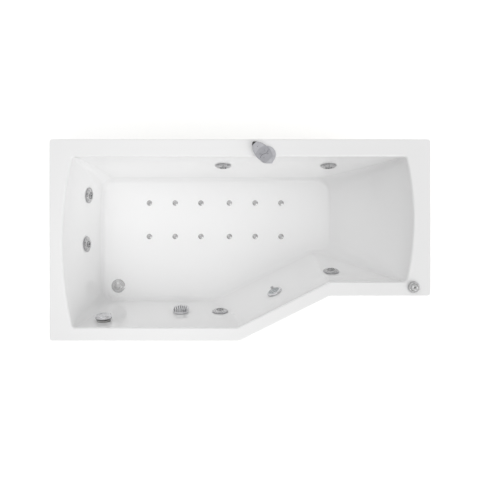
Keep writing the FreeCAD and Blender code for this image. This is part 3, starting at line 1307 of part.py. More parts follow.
def foot_places():
    """X, Y and rail underside of each foot."""
    first, second = CROSS_RAIL_XS[0], CROSS_RAIL_XS[1]
    end_x = END_UPRIGHT_X - FOOT_FROM_RAIL_END
    return [
        (first, front_upright_y(first) + FOOT_FROM_RAIL_END, CROSS_BOTTOM),
        (first, BACK - UPRIGHT_INSET - FOOT_FROM_RAIL_END, CROSS_BOTTOM),
        (second, front_upright_y(second) + FOOT_FROM_RAIL_END, CROSS_BOTTOM),
        (end_x, LONG_RAIL_YS[1], LONG_BOTTOM),
        (end_x, LONG_RAIL_YS[0], LONG_BOTTOM),
    ]


def foot_holes():
    return Part.makeCompound([
        cylinder(FOOT_STUD_RADIUS + HOLE_GAP, Vector(x, y, z - TUBE_WALL), Vector(x, y, z + 2 * TUBE_WALL))
        for x, y, z in foot_places()])


def cross_rails():
    half = Vector(TUBE / 2, TUBE / 2, 0)
    rails = [square_tube(Vector(x, front_upright_y(x), CROSS_BOTTOM) - half,
                         Vector(x, BACK - UPRIGHT_INSET, BOARD_BOTTOM) + half, "y") for x in CROSS_RAIL_XS]
    return [rail.cut(foot_holes()) for rail in rails]


def long_rails():
    half = TUBE / 2
    rails = [square_tube(Vector(LEFT + LONG_RAIL_FROM_LEFT, y - half, LONG_BOTTOM),
                         Vector(END_UPRIGHT_X + half, y + half, CROSS_BOTTOM), "x") for y in LONG_RAIL_YS]
    return [rail.cut(foot_holes()) for rail in rails]


def foot(x, y, rail_bottom):
    top = rail_bottom + FOOT_STUD_INTO_RAIL
    pad = turned([(0, 0), (FOOT_PAD_RADIUS, 0), (FOOT_PAD_RADIUS, FOOT_PAD_EDGE),
                  (2 * FOOT_STUD_RADIUS, FOOT_PAD_HEIGHT), (0, FOOT_PAD_HEIGHT)])
    stud = disc(FOOT_STUD_RADIUS, FOOT_PAD_EDGE, top)
    return placed(pad.fuse(stud), Placement(Vector(x, y, 0), Rotation()))


def foot_nut(x, y, rail_bottom):
    bore = FOOT_STUD_RADIUS + RUNNING_GAP
    shape = hexagon(FOOT_NUT_FLATS, bore, rail_bottom - FOOT_NUT_HEIGHT, rail_bottom)
    return placed(shape, Placement(Vector(x, y, 0), Rotation()))


def base_board():
    face = Part.Face(basin_wire(BASIN_DEPTH, BOARD_BOTTOM, -BOARD_INSET))
    board = face.extrude(UP * BOARD_THICKNESS)
    board = board.cut(block(Vector(LEFT, FRONT, BOARD_BOTTOM),
                            Vector(LEFT + BOARD_FROM_LEFT, BACK, SHELL_BOTTOM)))
    radius = AIR_COLLAR_RADIUS + BOARD_HOLE_GAP
    holes = [cylinder(radius, Vector(place.x, place.y, BOARD_BOTTOM), Vector(place.x, place.y, SHELL_BOTTOM))
             for place in air_jet_places()]
    return board.cut(Part.makeCompound(holes))


def equipment_shelf():
    low = Vector(SHELF_LEFT, NARROW_FRONT + SHELF_FROM_NARROW_FRONT, CROSS_BOTTOM)
    shelf = block(low, Vector(SHELF_RIGHT, SHELF_BACK, SHELF_TOP))
    radius = BLOWER_SPIGOT_RADIUS + HOSE_GAP + BLOWER_HOSE_WALL + BOARD_HOLE_GAP
    middle = Vector(blower_drop_x(), manifold_inlet_y(), CROSS_BOTTOM)
    return shelf.cut(cylinder(2 * radius, middle, middle + UP * SHELF_THICKNESS))


def control_box():
    low = Vector(SHELF_LEFT + BOX_FROM_SHELF_EDGE, SHELF_BACK - BOX_FROM_SHELF_EDGE - BOX_WIDTH, SHELF_TOP)
    high = low + Vector(BOX_LENGTH, BOX_WIDTH, BOX_HEIGHT)
    wall = Vector(BOX_WALL, BOX_WALL, BOX_WALL)
    body = block(low, high)
    upright_edges = [edge for edge in body.Edges if abs(edge.tangentAt(edge.FirstParameter).z) > 0.5]
    body = body.makeFillet(BOX_ROUND, upright_edges).cut(block(low + wall, high - wall))
    gland_start = Vector((low.x + high.x) / 2, high.y - BOX_WALL, (low.z + high.z) / 2)
    gland_end = gland_start + Vector(0, BOX_WALL + CABLE_GLAND_LENGTH, 0)
    body = body.fuse(cylinder(CABLE_GLAND_RADIUS, gland_start, gland_end))
    return body.cut(cylinder(CABLE_GLAND_BORE, gland_start - Vector(0, BOX_WALL, 0), gland_end))


# Light and level sensor


def light_bezel(seat):
    tail_end = behind_nut(seat) - LIGHT_TAIL_LENGTH + NUT_HEIGHT
    bore = LIGHT_TAIL_RADIUS - LIGHT_TAIL_WALL
    lens_seat = LIGHT_LENS_RADIUS + SEAT_GAP
    face = FLANGE_SEAT + LIGHT_BEZEL_HEIGHT
    crown = ((LIGHT_BEZEL_RADIUS + lens_seat) / 2 + LIGHT_BEZEL_EDGE / 2, face - LIGHT_BEZEL_EDGE / 4)
    profile = [(bore, tail_end), (LIGHT_TAIL_RADIUS, tail_end), (LIGHT_TAIL_RADIUS, FLANGE_SEAT),
               (LIGHT_BEZEL_RADIUS, FLANGE_SEAT),
               (LIGHT_BEZEL_RADIUS, FLANGE_SEAT + LIGHT_BEZEL_EDGE, crown),
               (lens_seat, face), (lens_seat, FLANGE_SEAT + LIGHT_BEZEL_EDGE),
               (bore, FLANGE_SEAT + LIGHT_BEZEL_EDGE)]
    return placed(turned(profile), seat.frame)


def light_lens(seat):
    low = FLANGE_SEAT + LIGHT_BEZEL_EDGE
    edge = FLANGE_SEAT + LIGHT_BEZEL_HEIGHT
    top = FLANGE_SEAT + LIGHT_LENS_HEIGHT
    lens = turned([(0, low), (LIGHT_LENS_RADIUS, low),
                   (LIGHT_LENS_RADIUS, edge, dome_middle(LIGHT_LENS_RADIUS, edge, top)), (0, top)])
    half = (LIGHT_LENS_RIBS - 1) / 2
    for index in range(LIGHT_LENS_RIBS):
        y = (index - half) * LIGHT_RIB_PITCH
        groove = block(Vector(-LIGHT_LENS_RADIUS, y - LIGHT_RIB_WIDTH / 2, edge + LIGHT_GROOVE_ABOVE_BEZEL),
                       Vector(LIGHT_LENS_RADIUS, y + LIGHT_RIB_WIDTH / 2, top + LIGHT_BEZEL_EDGE))
        lens = lens.cut(groove)
    lamp_radius = LIGHT_TAIL_RADIUS - LIGHT_TAIL_WALL - THREAD_GAP
    lamp = disc(lamp_radius, behind_nut(seat) - LIGHT_LAMP_LENGTH, low)
    return placed(lens.fuse(lamp), seat.frame)


def level_sensor(seat):
    head = disc(SENSOR_HEAD_RADIUS, SEAL_GAP, SEAL_GAP + SENSOR_HEAD_HEIGHT)
    stem = disc(SENSOR_STEM_RADIUS, -(seat.wall + SENSOR_STEM_LENGTH), SEAL_GAP)
    return placed(head.fuse(stem), seat.frame)


# Air dial


DIAL_SEAT = SimpleNamespace(frame=Placement(AIR_DIAL, Rotation()), wall=SHELL_WALL)


def air_control_body():
    top = SEAT_GAP + AIR_BODY_FLANGE_HEIGHT
    port = Vector(0, 0, -AIR_BODY_PORT_DEPTH)
    end = AIR_BODY_TAIL_RADIUS + SPIGOT_LENGTH
    body = fused([
        disc(AIR_BODY_FLANGE_RADIUS, SEAT_GAP, top),
        disc(AIR_BODY_TAIL_RADIUS, -AIR_BODY_LENGTH, SEAT_GAP),
        cylinder(AIR_SPIGOT_RADIUS, port, port + Vector(-end, 0, 0)),
        cylinder(AIR_SPIGOT_RADIUS, port, port + Vector(0, end, 0)),
    ])
    bore = disc(AIR_DIAL_SPINDLE_RADIUS + RUNNING_GAP, top - AIR_DIAL_SPINDLE_LENGTH - SEAT_GAP, top)
    return placed(body.cut(bore), DIAL_SEAT.frame)


def air_control_knob():
    low = 2 * SEAT_GAP + AIR_BODY_FLANGE_HEIGHT
    top = low + AIR_DIAL_HEIGHT
    step = low + AIR_DIAL_HEIGHT - AIR_DIAL_STEP_HEIGHT
    profile = [(0, low), (AIR_DIAL_RADIUS, low), (AIR_DIAL_RADIUS - AIR_DIAL_STEP_HEIGHT / 2, step),
               (AIR_DIAL_STEP_RADIUS, step), (AIR_DIAL_STEP_RADIUS - AIR_DIAL_STEP_HEIGHT / 2, top),
               (0, top)]
    spindle = disc(AIR_DIAL_SPINDLE_RADIUS, low - AIR_DIAL_SPINDLE_LENGTH, low)
    return placed(turned(profile).fuse(spindle), DIAL_SEAT.frame)


# Hand control


def almond_wire(grow, z):
    """Pointed oval with rounded tips: two wide arcs and two tip arcs."""
    half_length = REMOTE_HALF_LENGTH + grow
    half_width = REMOTE_HALF_WIDTH + grow
    tip = REMOTE_TIP_RADIUS + grow
    side = ((half_length - tip) ** 2 / (half_width - tip) + half_width + tip) / 2
    tip_x = half_length - tip
    joints = {}
    for x_sign in (1, -1):
        for y_sign in (1, -1):
            centre = Vector(0, -y_sign * (side - half_width), z)
            tip_centre = Vector(x_sign * tip_x, 0, z)
            joints[x_sign, y_sign] = centre + (tip_centre - centre) * (side / (side - tip))
    edges = [
        Part.Arc(joints[1, 1], Vector(0, half_width, z), joints[-1, 1]),
        Part.Arc(joints[-1, 1], Vector(-half_length, 0, z), joints[-1, -1]),
        Part.Arc(joints[-1, -1], Vector(0, -half_width, z), joints[1, -1]),
        Part.Arc(joints[1, -1], Vector(half_length, 0, z), joints[1, 1]),
    ]
    return Part.Wire([edge.toShape() for edge in edges])


REMOTE_LOW = CRADLE_FLOOR + SEAT_GAP
REMOTE_TOP = REMOTE_LOW + REMOTE_THICKNESS


def remote_whole():
    solid = Part.Face(almond_wire(0, REMOTE_LOW)).extrude(UP * REMOTE_THICKNESS)
    top = [edge for edge in solid.Edges if edge.BoundBox.ZMin > REMOTE_TOP - REMOTE_BOTTOM_ROUND]
    bottom = [edge for edge in solid.Edges if edge.BoundBox.ZMax < REMOTE_LOW + REMOTE_BOTTOM_ROUND]
    return solid.makeFillet(REMOTE_TOP_ROUND, top).makeFillet(REMOTE_BOTTOM_ROUND, bottom)


def keypad_space(gap):
    """Band across the upper part of the case, bounded by two curved lines."""
    low = REMOTE_TOP - KEYPAD_DEPTH + gap
    high = REMOTE_TOP + KEYPAD_DEPTH
    front = disc(KEYPAD_ARC, low, high)
    front.translate(Vector(KEYPAD_TO - KEYPAD_ARC - gap, 0, 0))
    rear = block(Vector(KEYPAD_FROM + gap, -KEYPAD_ARC, low),
                 Vector(KEYPAD_TO + KEYPAD_ARC, KEYPAD_ARC, high))
    return front.common(rear)


def window_space(gap):
    low = REMOTE_LOW + REMOTE_BOTTOM_ROUND + gap
    beyond_tip = REMOTE_HALF_LENGTH + REMOTE_HALF_WIDTH
    return block(Vector(WINDOW_FROM + gap, -REMOTE_HALF_WIDTH, low),
                 Vector(beyond_tip, REMOTE_HALF_WIDTH, REMOTE_TOP + KEYPAD_DEPTH))


def key_places():
    return [Vector(KEYS_CENTRE + along * KEY_STEP_ALONG / 2, across * KEY_STEP_ACROSS / 2, 0)
            for along in (1, -1) for across in (1, -1)]


def key_space(place, gap):
    """Space of a key, or with gap its hole, which is deeper by the key's travel."""
    top = REMOTE_TOP + KEY_PROUD
    low = top - KEY_LENGTH
    if gap:
        low -= KEY_TRAVEL + SEAT_GAP
    return cylinder(KEY_RADIUS + gap, place + UP * low, place + UP * top)


def remote_case():
    case = remote_whole().cut(keypad_space(0)).cut(window_space(0))
    return placed(case, REMOTE)


def remote_keypad():
    keypad = remote_whole().common(keypad_space(KEYPAD_GAP))
    for place in key_places():
        keypad = keypad.cut(key_space(place, KEY_GAP))
    return placed(keypad, REMOTE)


def remote_window():
    return placed(remote_whole().common(window_space(KEYPAD_GAP)), REMOTE)


def cradle_frame():
    base = REMOTE.multVec(Vector(CRADLE_ALONG, CRADLE_ACROSS, 0))
    return Vector(base.x, base.y, RIM_HEIGHT)


def cradle_stem_seat():
    middle = cradle_frame()
    frame = Placement(Vector(middle.x, BACK - CRADLE_STEM_FROM_BACK, RIM_HEIGHT), Rotation())
    return SimpleNamespace(frame=frame, wall=SHELL_WALL)


def remote_cradle():
    middle = cradle_frame()
    base = disc(CRADLE_RADIUS, SEAT_GAP, CRADLE_HEIGHT)
    top_edge = [edge for edge in base.Edges if edge.BoundBox.ZMin > CRADLE_HEIGHT - CRADLE_ROUND]
    base = base.makeFillet(CRADLE_ROUND, top_edge)
    base.translate(middle)
    bed = Part.Face(almond_wire(HOLE_GAP, CRADLE_FLOOR)).extrude(UP * CRADLE_HEIGHT)
    stem = placed(disc(CRADLE_STEM_RADIUS, -CRADLE_STEM_LENGTH, CRADLE_FLOOR), cradle_stem_seat().frame)
    return base.cut(placed(bed, REMOTE)).fuse(stem)


# Assembly


def drilled_shell(jets, suction, overflow, light, sensor):
    holes = [shell_hole(JET_TAIL_RADIUS, seat.frame) for seat in jets]
    holes.append(shell_hole(SUCTION_TAIL_RADIUS, suction.frame))
    holes.append(shell_hole(OVERFLOW_TAIL_RADIUS, overflow.frame))
    holes.append(shell_hole(LIGHT_TAIL_RADIUS, light.frame))
    holes.append(shell_hole(SENSOR_STEM_RADIUS, sensor.frame))
    holes.append(shell_hole(WASTE_TAIL_RADIUS, WASTE))
    holes.append(shell_hole(AIR_BODY_TAIL_RADIUS, DIAL_SEAT.frame))
    holes.append(shell_hole(CRADLE_STEM_RADIUS, cradle_stem_seat().frame))
    holes += [shell_hole(AIR_BODY_RADIUS, Placement(place, Rotation())) for place in air_jet_places()]
    return rounded_shell().cut(Part.makeCompound(holes))


def build():
    jets = jet_seats()
    suction = wall_seat("front", SLANT_A.x - SUCTION_BEFORE_SLANT, SUCTION_DEPTH)
    overflow = wall_seat("front", DRAIN.x, OVERFLOW_DEPTH)
    light_along = LIGHT_ALONG_SHARE * SLANT_LENGTH
    light = wall_seat("slant", light_along, LIGHT_DEPTH)
    sensor = wall_seat("slant", light_along, LIGHT_DEPTH + SENSOR_BELOW_LIGHT)
    nodes = {
        "tub_shell": [drilled_shell(jets, suction, overflow, light, sensor)],
        "base_board": [base_board()],
        "frame_cross_rails": cross_rails(),
        "frame_long_rails": long_rails(),
        "frame_uprights": uprights(),
        "rim_pads": rim_pads(),
        "foot_nuts": [foot_nut(*place) for place in foot_places()],
        "equipment_shelf": [equipment_shelf()],
        "waste_flange": [waste_flange()],
        "waste_body": [waste_body()],
        "waste_trap": [waste_trap()],
        "drain_plug": [drain_plug()],
        "overflow_body": [overflow_body(overflow)],
        "overflow_knob": [overflow_knob(overflow)],
        "suction_body": [suction_body(suction)],
        "suction_grille": [suction_grille(suction)],
        "jet_bezels": [jet_bezel(seat) for seat in jets],
        "jet_bodies": [jet_body(seat, sides) for seat, sides in zip(jets, JET_HOSE_SIDES)],
        "water_tee": [water_tee()],
        "pump_volute": [pump_volute()],
        "pump_motor": [pump_motor()],
        "pump_rotor": [pump_rotor()],
        "air_jet_caps": [air_jet_cap(place) for place in air_jet_places()],
        "air_jet_bodies": [air_jet_body(place) for place in air_jet_places()],
        "air_manifold": [air_manifold()],
        "blower_case": [blower_case()],
        "blower_fan": [blower_fan()],
        "control_box": [control_box()],
        "air_control_body": [air_control_body()],
        "air_control_knob": [air_control_knob()],
        "light_bezel": [light_bezel(light)],
        "light_lens": [light_lens(light)],
        "level_sensor": [level_sensor(sensor)],
        "remote_cradle": [remote_cradle()],
        "remote_case": [remote_case()],
        "remote_keypad": [remote_keypad()],
        "remote_window": [remote_window()],
    }
    nodes["wall_seals"] = [seal(JET_TAIL_RADIUS, seat.frame) for seat in jets]
    nodes["wall_seals"].append(seal(SUCTION_TAIL_RADIUS, suction.frame))
    nodes["wall_seals"].append(seal(OVERFLOW_TAIL_RADIUS, overflow.frame))
    nodes["wall_seals"].append(seal(LIGHT_TAIL_RADIUS, light.frame))
    nodes["wall_nuts"] = [nut(JET_TAIL_RADIUS, seat) for seat in jets]
    nodes["wall_nuts"].append(nut(SUCTION_TAIL_RADIUS, suction))
    nodes["wall_nuts"].append(nut(OVERFLOW_TAIL_RADIUS, overflow))
    nodes["wall_nuts"].append(nut(LIGHT_TAIL_RADIUS, light))
    nodes["wall_nuts"].append(nut(AIR_BODY_TAIL_RADIUS, DIAL_SEAT))
    nodes["wall_nuts"].append(nut(CRADLE_STEM_RADIUS, cradle_stem_seat()))
    nodes["water_hoses"] = [hose(route, SPIGOT_RADIUS, WATER_HOSE_WALL) for route in water_hose_routes(jets)]
    nodes["jet_air_hoses"] = [hose(route, AIR_SPIGOT_RADIUS, AIR_HOSE_WALL)
                              for route in air_hose_routes(jets)]
    nodes["suction_hose"] = [hose(suction_hose_route(suction), SUCTION_SPIGOT_RADIUS, SUCTION_HOSE_WALL)]
    nodes["blower_hose"] = [hose(blower_hose_route(), BLOWER_SPIGOT_RADIUS, BLOWER_HOSE_WALL)]
    nodes["overflow_hose"] = [hose(waste_route(overflow, 0, OVERFLOW_BODY_RADIUS + HOSE_START_GAP,
                                               WASTE_BODY_RADIUS + HOSE_START_GAP),
                                   SPIGOT_RADIUS, WATER_HOSE_WALL)]
    nodes["plug_cable"] = [swept(waste_route(overflow, CABLE_BESIDE, OVERFLOW_BODY_RADIUS + GLAND_LENGTH,
                                             WASTE_BODY_RADIUS + GLAND_LENGTH), CABLE_RADIUS)]
    for index, place in enumerate(foot_places(), 1):
        nodes["foot_%d" % index] = [foot(*place)]
    for index, seat in enumerate(jets, 1):
        nodes["jet_nozzle_%d" % index] = [jet_nozzle(seat)]
    for index, place in enumerate(key_places(), 1):
        nodes["remote_key_%d" % index] = [placed(key_space(place, 0), REMOTE)]
    return nodes


def main():
    os.makedirs("parts", exist_ok=True)
    for name, solids in build().items():
        shape = solids[0] if len(solids) == 1 else Part.makeCompound(solids)
        shape.exportStep("parts/%s.step" % name)
        print(name, len(shape.Solids), shape.isValid(), round(shape.Volume / 1000, 2))


main()
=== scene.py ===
import json
import math

import bpy
from mathutils import Matrix, Vector
from mathutils.bvhtree import BVHTree


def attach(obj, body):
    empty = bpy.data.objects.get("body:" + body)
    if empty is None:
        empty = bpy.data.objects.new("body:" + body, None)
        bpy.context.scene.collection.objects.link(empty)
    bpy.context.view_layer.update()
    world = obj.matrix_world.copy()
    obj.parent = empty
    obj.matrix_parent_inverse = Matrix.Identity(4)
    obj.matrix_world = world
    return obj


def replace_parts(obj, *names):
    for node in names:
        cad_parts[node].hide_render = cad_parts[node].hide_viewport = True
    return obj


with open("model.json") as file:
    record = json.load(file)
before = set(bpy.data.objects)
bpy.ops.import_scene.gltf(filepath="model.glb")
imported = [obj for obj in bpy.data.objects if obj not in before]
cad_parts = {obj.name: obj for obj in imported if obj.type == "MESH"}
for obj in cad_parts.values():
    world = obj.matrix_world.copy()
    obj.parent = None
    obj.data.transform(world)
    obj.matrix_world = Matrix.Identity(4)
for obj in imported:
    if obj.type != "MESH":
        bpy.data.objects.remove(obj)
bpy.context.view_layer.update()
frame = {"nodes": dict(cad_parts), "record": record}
NODES = frame["nodes"]
MM = 0.001
RAY_START = 60 * MM
CORNERS = ((-1, -1), (1, -1), (1, 1), (-1, 1))

# Rim and floor, in metres
RIGHT = 0.850
LEFT = -RIGHT
BACK = 0.450
FRONT = -BACK
NARROW_FRONT = -0.250
SLANT_START = Vector((0.0, FRONT, 0.0))
SLANT_END = Vector((0.400, NARROW_FRONT, 0.0))
SLANT_LENGTH = (SLANT_END - SLANT_START).length
SLANT_ALONG = (SLANT_END - SLANT_START).normalized()
SLANT_INWARD = Vector((-SLANT_ALONG.y, SLANT_ALONG.x, 0.0))
OUTLINE = ((LEFT, FRONT), SLANT_START.xy, SLANT_END.xy, (RIGHT, NARROW_FRONT), (RIGHT, BACK), (LEFT, BACK))
RIM_HEIGHT = 0.600
FLOOR_HEIGHT = 0.180
BASIN_DEPTH = RIM_HEIGHT - FLOOR_HEIGHT
SHELL_WALL = 6 * MM
LIP_EDGE = 0.85 * SHELL_WALL

# Basin walls: width of the rim, draft from rim to floor and the power of the draft's curve
WALLS = {
    "back": (78 * MM, 57 * MM, 1.4), "front": (59 * MM, 79 * MM, 1.15), "left": (102 * MM, 43 * MM, 1.1),
    "narrow": (64 * MM, 123 * MM, 1.5), "slant": (57 * MM, 128 * MM, 1.55),
}
LEFT_BOW_RIM = 45 * MM
LEFT_BOW_FLOOR = 12 * MM

# Fittings on level ground
DRAIN = Vector((-0.633, -0.239, FLOOR_HEIGHT))
AIR_DIAL = Vector((0.773, -0.210, RIM_HEIGHT))
AIR_JET_XS = (-0.471, -0.337, -0.203, -0.055, 0.079, 0.213)
AIR_JET_YS = (0.192, 0.018)

# Fittings on the basin walls: wall, place along it and share of the basin's depth
JET_PLACES = (("back", 0.422, 0.417), ("back", -0.080, 0.417), ("left", 0.218, 0.583),
              ("left", -0.021, 0.583), ("narrow", 0.435, 0.429), ("front", -0.097, 0.571))
SUCTION_PLACE = ("front", -0.288, 0.56)
OVERFLOW_PLACE = ("front", DRAIN.x, 0.262)
LIGHT_PLACE = ("slant", 0.532 * SLANT_LENGTH, 0.505)
JET_PETALS = 8
PETAL_SINK = 0.15 * MM
OVERFLOW_RIBS = 32
AIR_DIAL_RIBS = 40
AIR_DIAL_TURN = 20.0

# Hand control on the back rim
REMOTE = (0.100, 0.387, RIM_HEIGHT)
REMOTE_TURN = 133.0
REMOTE_TOP = 27.3 * MM
KEYS_CENTRE = -10.0 * MM
KEY_STEP_ALONG = 22.0 * MM
KEY_STEP_ACROSS = 24.0 * MM
KEY_PROUD = 1.2 * MM

# Frame of square tube
TUBE = 25 * MM
CROSS_RAILS = ((-0.560, -0.441), (-0.130, -0.441), (0.300, -0.2837))
CROSS_RAIL_BACK = 0.441
CROSS_RAIL_MIDDLE = 0.1465
LONG_RAIL_YS = (0.330, -0.120)
LONG_RAIL_ENDS = (-0.600, 0.841)
LONG_RAIL_MIDDLE = 0.1215
CROSS_RAIL_TOP = CROSS_RAIL_MIDDLE + TUBE / 2
LONG_RAIL_TOP = LONG_RAIL_MIDDLE + TUBE / 2
SIDE_UPRIGHTS = [(x, y) for x, front in CROSS_RAILS for y in (front + TUBE / 2, CROSS_RAIL_BACK - TUBE / 2)]
END_UPRIGHTS = [(LONG_RAIL_ENDS[1] - TUBE / 2, y) for y in LONG_RAIL_YS]
BEAD_STEPS = 14
FOOT_STUD = 6 * MM
FEET = ((-0.560, -0.3735), (-0.560, 0.3735), (-0.130, -0.3735), (0.7735, -0.120), (0.7735, 0.330))

# Machines on the shelf
SHELF_TOP = 0.149
SHELF_SCREWS = ((0.475, -0.125), (0.640, -0.125), (0.788, -0.125), (0.475, 0.322), (0.791, 0.190))
PUMP = Vector((0.750, -0.060, 0.237))
VOLUTE_RADIUS = 78 * MM
VOLUTE_LENGTH = 65 * MM
VOLUTE_SCREWS = 8
MOTOR_LENGTH = 200 * MM
COWL_SLATS = 16
TERMINAL_BOX = Vector((PUMP.x, 0.090, 0.300))
MOTOR_FOOT = Vector((PUMP.x, 0.105, SHELF_TOP + 8 * MM))
BLOWER = (0.705, 0.320, SHELF_TOP)
BLOWER_RADIUS = 80 * MM
BLOWER_HEIGHT = 140 * MM
BLOWER_RIBS = 24
BLOWER_OUTLET_TURNS = (205, 260)
CONTROL_BOX = (0.530, 0.375, SHELF_TOP)
CONTROL_BOX_SIZE = (140 * MM, 80 * MM, 95 * MM)

# Hoses: straight leads out of the ports, and lanes behind the basin
SHORT_LEAD = 62 * MM
LONG_LEAD = 100 * MM
JET_PORT_DEPTH = 30 * MM
AIR_PORT_HEIGHT = 36 * MM
WATER_ROOT = 29 * MM
AIR_ROOT = 8.4 * MM
TEE = PUMP + Vector((0, VOLUTE_LENGTH / 2, VOLUTE_RADIUS + 51.8 * MM))
TEE_ROOT = 27 * MM
DIAL_PORT = AIR_DIAL - Vector((0, 0, 40 * MM))
DIAL_ROOT = 17 * MM
END_LANE_X = 0.782
END_LANE_RISE = 20 * MM
BACK_LANE_X = 0.640
WATER_SAG = 12 * MM
AIR_SAG = 14 * MM
SUCTION_PORT_DEPTH = 35.1 * MM
SUCTION_ROOT = 32 * MM
SUCTION_LEAD = 130 * MM
SUCTION_START = -0.100
SUCTION_SLANT = (0.134, 0.85)
SUCTION_DOWN = 1 - 45 * MM / BASIN_DEPTH
SUCTION_BEHIND = 50 * MM
SUCTION_BEFORE_PUMP = Vector((-140 * MM, 0, 0))
SUCTION_FRONT_OF_PUMP = Vector((0, -135 * MM, 0))
SUCTION_INLET = Vector((0, -2 * MM, 0))
OVERFLOW_PORT_DEPTH = 27.1 * MM
WASTE_INLET_DEPTH = 46 * MM
BLOWER_ROUTE = ((0.625, 0.260, 0.190), (0.525, 0.260, 0.190), (0.525, 0.260, 0.105), (0.363, 0.260, 0.105))

# Lanes behind the slanted wall: share of its length, share of the basin's depth, distance behind
SLANT_WATER_LANE = ((0.805, 0.607, 38 * MM), (0.268, 0.667, 38 * MM))
SLANT_AIR_LANE = ((0.771, 0.488, 42 * MM), (0.537, 0.505, 66 * MM), (0.246, 0.548, 46 * MM))

# Hose walls
WATER_HOSE_RADIUS = 16 * MM
WATER_HOSE_BORE = 13 * MM
SPIRAL_PITCH = 11 * MM
SPIRAL_DEPTH = 1.4 * MM
SPIRAL_CUFF = 22 * MM
AIR_HOSE_RADIUS = 6.5 * MM
AIR_HOSE_BORE = 4 * MM
SUCTION_HOSE_RADIUS = 24 * MM
SUCTION_HOSE_BORE = 20 * MM
BLOWER_HOSE_RADIUS = 19 * MM
BLOWER_HOSE_BORE = 16 * MM
RIB_PITCH = 6 * MM
RIB_DEPTH = 2.6 * MM
HOSE_MOUTH = 15 * MM
CABLE_RADIUS = 3 * MM
CABLE_BESIDE = 22 * MM

# Stage, light and camera: each sun has the direction toward it, its angle and its strength
FLOOR_REACH = 30.0
FLOOR_GLOW = 0.40
BACKDROP_SIDES = 48
BACKDROP_RADIUS = 29.0
BACKDROP_HEIGHT = 20.0
SKY_STRENGTH = 0.41
SUNS = {"key": ((0.55, -0.60, 0.62), 60.0, 1.02), "top": ((0.0, 0.0, 1.0), 70.0, 0.45),
        "opposite": ((-0.50, 0.60, 0.60), 60.0, 0.35)}
SPOT_PLACE = Vector((-0.30, -0.55, 2.60))
SPOT_TARGET = Vector((-0.34, 0.10, 0.18))
SPOT_ANGLE = 40.0
SPOT_RADIUS = 0.40
SPOT_POWER = 26.0
CAMERA_ABOVE_RIM = 2.500
PHOTO_WIDTH_AT_RIM = 2.138
SENSOR = 36.0


# Node materials


class Surface:
    """A Principled material with short calls for the textures that drive it."""

    def __init__(self, name, metallic=0.0, coat=0.0, coat_roughness=0.05):
        self.material = bpy.data.materials.new(name)
        self.material.use_nodes = True
        self.tree = self.material.node_tree
        self.coords = self.tree.nodes.new("ShaderNodeTexCoord")
        self.shader = self.tree.nodes["Principled BSDF"]
        self.fill(self.shader, {"Metallic": metallic, "Coat Weight": coat, "Coat Roughness": coat_roughness})

    def fill(self, node, inputs):
        """Gives inputs their values, or a link where the value is another node's output."""
        for name, value in inputs.items():
            if isinstance(value, bpy.types.NodeSocket):
                self.tree.links.new(value, node.inputs[name])
            else:
                node.inputs[name].default_value = value

    def node(self, kind, inputs):
        node = self.tree.nodes.new(kind)
        self.fill(node, inputs)
        return node

    def texture(self, kind, scale, stretch=(1, 1, 1), source="Object"):
        mapping = self.node("ShaderNodeMapping", {"Vector": self.coords.outputs[source], "Scale": stretch})
        return self.node(kind, {"Vector": mapping.outputs["Vector"], "Scale": scale})

    def noise(self, scale, detail=4.0, stretch=(1, 1, 1)):
        texture = self.texture("ShaderNodeTexNoise", scale, stretch)
        self.fill(texture, {"Detail": detail})
        return texture.outputs["Fac"]

    def cells(self, scale, output="Color", stretch=(1, 1, 1)):
        return self.texture("ShaderNodeTexVoronoi", scale, stretch).outputs[output]

    def bands(self, period, direction="Y", source="UV"):
        """Waves that repeat after one period along the direction."""
        texture = self.texture("ShaderNodeTexWave", 2 * math.pi / 20 / period, source=source)
        texture.bands_direction = direction
        return texture.outputs["Fac"]

    def color(self, factor, dark, light, low=0.35, high=0.65):
        ramp = self.node("ShaderNodeValToRGB", {"Fac": factor})
        for element, position, tone in zip(ramp.color_ramp.elements, (low, high), (dark, light)):
            element.position = position
            element.color = (*tone, 1.0)
        self.fill(self.shader, {"Base Color": ramp.outputs["Color"]})

    def roughness(self, factor, low, high):
        spread = self.node("ShaderNodeMapRange", {"Value": factor, "To Min": low, "To Max": high})
        self.fill(self.shader, {"Roughness": spread.outputs["Result"]})

    def bump(self, height, strength, distance=0.001):
        bump = self.node("ShaderNodeBump", {"Height": height, "Strength": strength, "Distance": distance})
        self.fill(self.shader, {"Normal": bump.outputs["Normal"]})

    def glow(self, strength):
        self.fill(self.shader, {"Emission Color": (1, 1, 1, 1), "Emission Strength": strength})


def grey(value, blue=0.0):
    return (value, value, value + blue)


def moulded(name, dark, light, rough, grain, bump=0.05, **values):
    """Plastic, rubber or paint: soft tone patches, uneven gloss and a fine moulded texture."""
    surface = Surface(name, **values)
    surface.color(surface.noise(grain), dark, light)
    surface.roughness(surface.noise(grain * 3), *rough)
    surface.bump(surface.noise(grain * 40, 2.0), bump)
    return surface.material


def acrylic():
    surface = Surface("acrylic_white", coat=0.5, coat_roughness=0.02)
    surface.color(surface.noise(1.8, 2.0), grey(0.972), grey(0.980))
    surface.roughness(surface.noise(6.0), 0.06, 0.12)
    surface.bump(surface.noise(140.0, 2.0), 0.015, 0.0005)
    return surface.material


def glass_fibre():
    """Back of the acrylic sheet: resin over chopped glass strands."""
    surface = Surface("glass_fibre_back")
    strands = surface.cells(160.0, "Distance", (1, 0.25, 0.6))
    surface.color(strands, (0.84, 0.83, 0.77), (0.66, 0.65, 0.58), 0.1, 0.6)
    surface.roughness(surface.noise(30.0), 0.35, 0.65)
    surface.bump(strands, 0.6, 0.002)
    return surface.material


